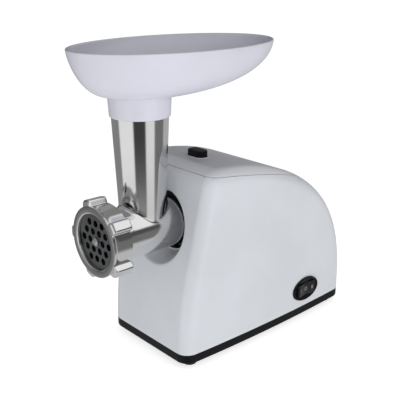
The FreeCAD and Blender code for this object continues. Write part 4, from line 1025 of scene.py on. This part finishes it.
def springParts():
    # a helix about an upright axis, angle growing with height, a round wire carried along it, ends closed
    c = coil
    t = np.linspace(0, 1, c["turns"] * c["stepsPerTurn"] + 1)[:, None]
    a, wire = 2 * pi * c["turns"] * t, circleTurns(c["wireSteps"])[None, :]
    size = c["wireR"] * np.where((t == 0) | (t == 1), 0.0, 1.0)
    r = c["r"] + size * np.cos(wire)
    z = c["footZ"] + c["wireR"] + (c["height"] - 2 * c["wireR"]) * t + size * np.sin(wire)
    return [joined(np.stack([r * np.cos(a), c["y"] + r * np.sin(a), z], -1))]


spring = makePiece("buttonSpring", springParts(), "steel", "housing", "button_spring", 60)
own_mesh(spring)

# studio
studio = {"bands": [(-180, 0.25), (-90, 0.88), (-24, 0.045), (26, 0.78), (64, 0.17), (110, 0.45)], "soft": 4.0,
          "toCamera": (0.746, -0.666), "toRight": (0.666, 0.746), "diffuse": 0.47, "sky": 0.44,
          "skyRise": (0.2, 0.9), "highEdge": (0.27, 0.38), "lowEdge": (0.34, 0.52), "lowLevel": 0.55,
          "dimEdge": (-0.02, 0.10), "dim": 0.55, "topEdge": (0.1, 0.35), "topLevels": (0.30, 0.65)}


def studioWorld():
    # white to the camera, even light for matt surfaces, and for gloss upright bands of light and dark
    s = studio
    world = bpy.data.worlds.new("studio")
    scene.world = world
    world.use_nodes = True
    graph = Nodes(world.node_tree)
    background = next(n for n in graph.tree.nodes if n.type == "BACKGROUND")
    x, y, z = graph.axes(graph.node("ShaderNodeTexCoord").outputs["Generated"])
    toward, right = (x * s[key][0] + y * s[key][1] for key in ("toCamera", "toRight"))
    angle = right.angleTo(toward) * (180 / pi)
    glossy = s["bands"][0][1]
    for (at, value), (_, before) in zip(s["bands"][1:], s["bands"][:-1]):
        glossy = glossy + angle.step(at - s["soft"], at + s["soft"]) * (value - before)
    glossy = glossy * (1 - s["dim"] * z.step(*s["dimEdge"]))
    high, low = z.step(*s["highEdge"]), (z * -1.0).step(*s["lowEdge"])
    glossy = glossy * (1 - high) + (right.step(*s["topEdge"]) * s["topLevels"][1] + s["topLevels"][0]) * high
    glossy = glossy * (1 - low) + low * s["lowLevel"]
    rays = graph.node("ShaderNodeLightPath").outputs
    seen, shiny = Amount(graph, rays["Is Camera Ray"]), Amount(graph, rays["Is Glossy Ray"])
    even = s["diffuse"] - z.step(*s["skyRise"]) * (s["diffuse"] - s["sky"])
    graph.put(background.inputs["Color"], (1, 1, 1, 1))
    graph.put(background.inputs["Strength"], seen + (1 - seen) * (shiny * glossy + (1 - shiny) * even))


lamps = {"aim": (0, 0, 0.12), "keyLight": {"place": (1.30, -0.85, 0.50), "size": 0.7, "power": 6.6},
         "sideLight": {"place": (1.5, 0.5, 0.9), "size": 1.0, "power": 2.8}}


def softLight(name):
    light = bpy.data.lights.new(name, "AREA")
    light.shape = "DISK"
    light.size = lamps[name]["size"]
    light.energy = lamps[name]["power"]
    lamp = bpy.data.objects.new(name, light)
    lamp.visible_glossy = False
    aimAt(lamp, lamps[name]["place"], lamps["aim"])


studioWorld()
softLight("keyLight")
softLight("sideLight")

# floor
paint = {"reach": 20, "color": (0.86, 0.86, 0.86), "roughness": 0.9, "glow": 0.66}
ground = bpy.data.meshes.new("floor")
reach = paint["reach"]
ground.from_pydata([(-reach, -reach, 0), (reach, -reach, 0), (reach, reach, 0), (-reach, reach, 0)], [],
                   [(0, 1, 2, 3)])
floor = bpy.data.objects.new("floor", ground)
floorFinish = Finish("floorPaint", paint["color"], paint["roughness"], specular=0.0)
floorFinish.feed("Emission Color", (1, 1, 1, 1))
floorFinish.feed("Emission Strength", paint["glow"])
ground.materials.append(floorFinish.material)
scene.collection.objects.link(floor)
floor.visible_glossy = False
scene.view_settings.view_transform = "Standard"
print("studio ready")
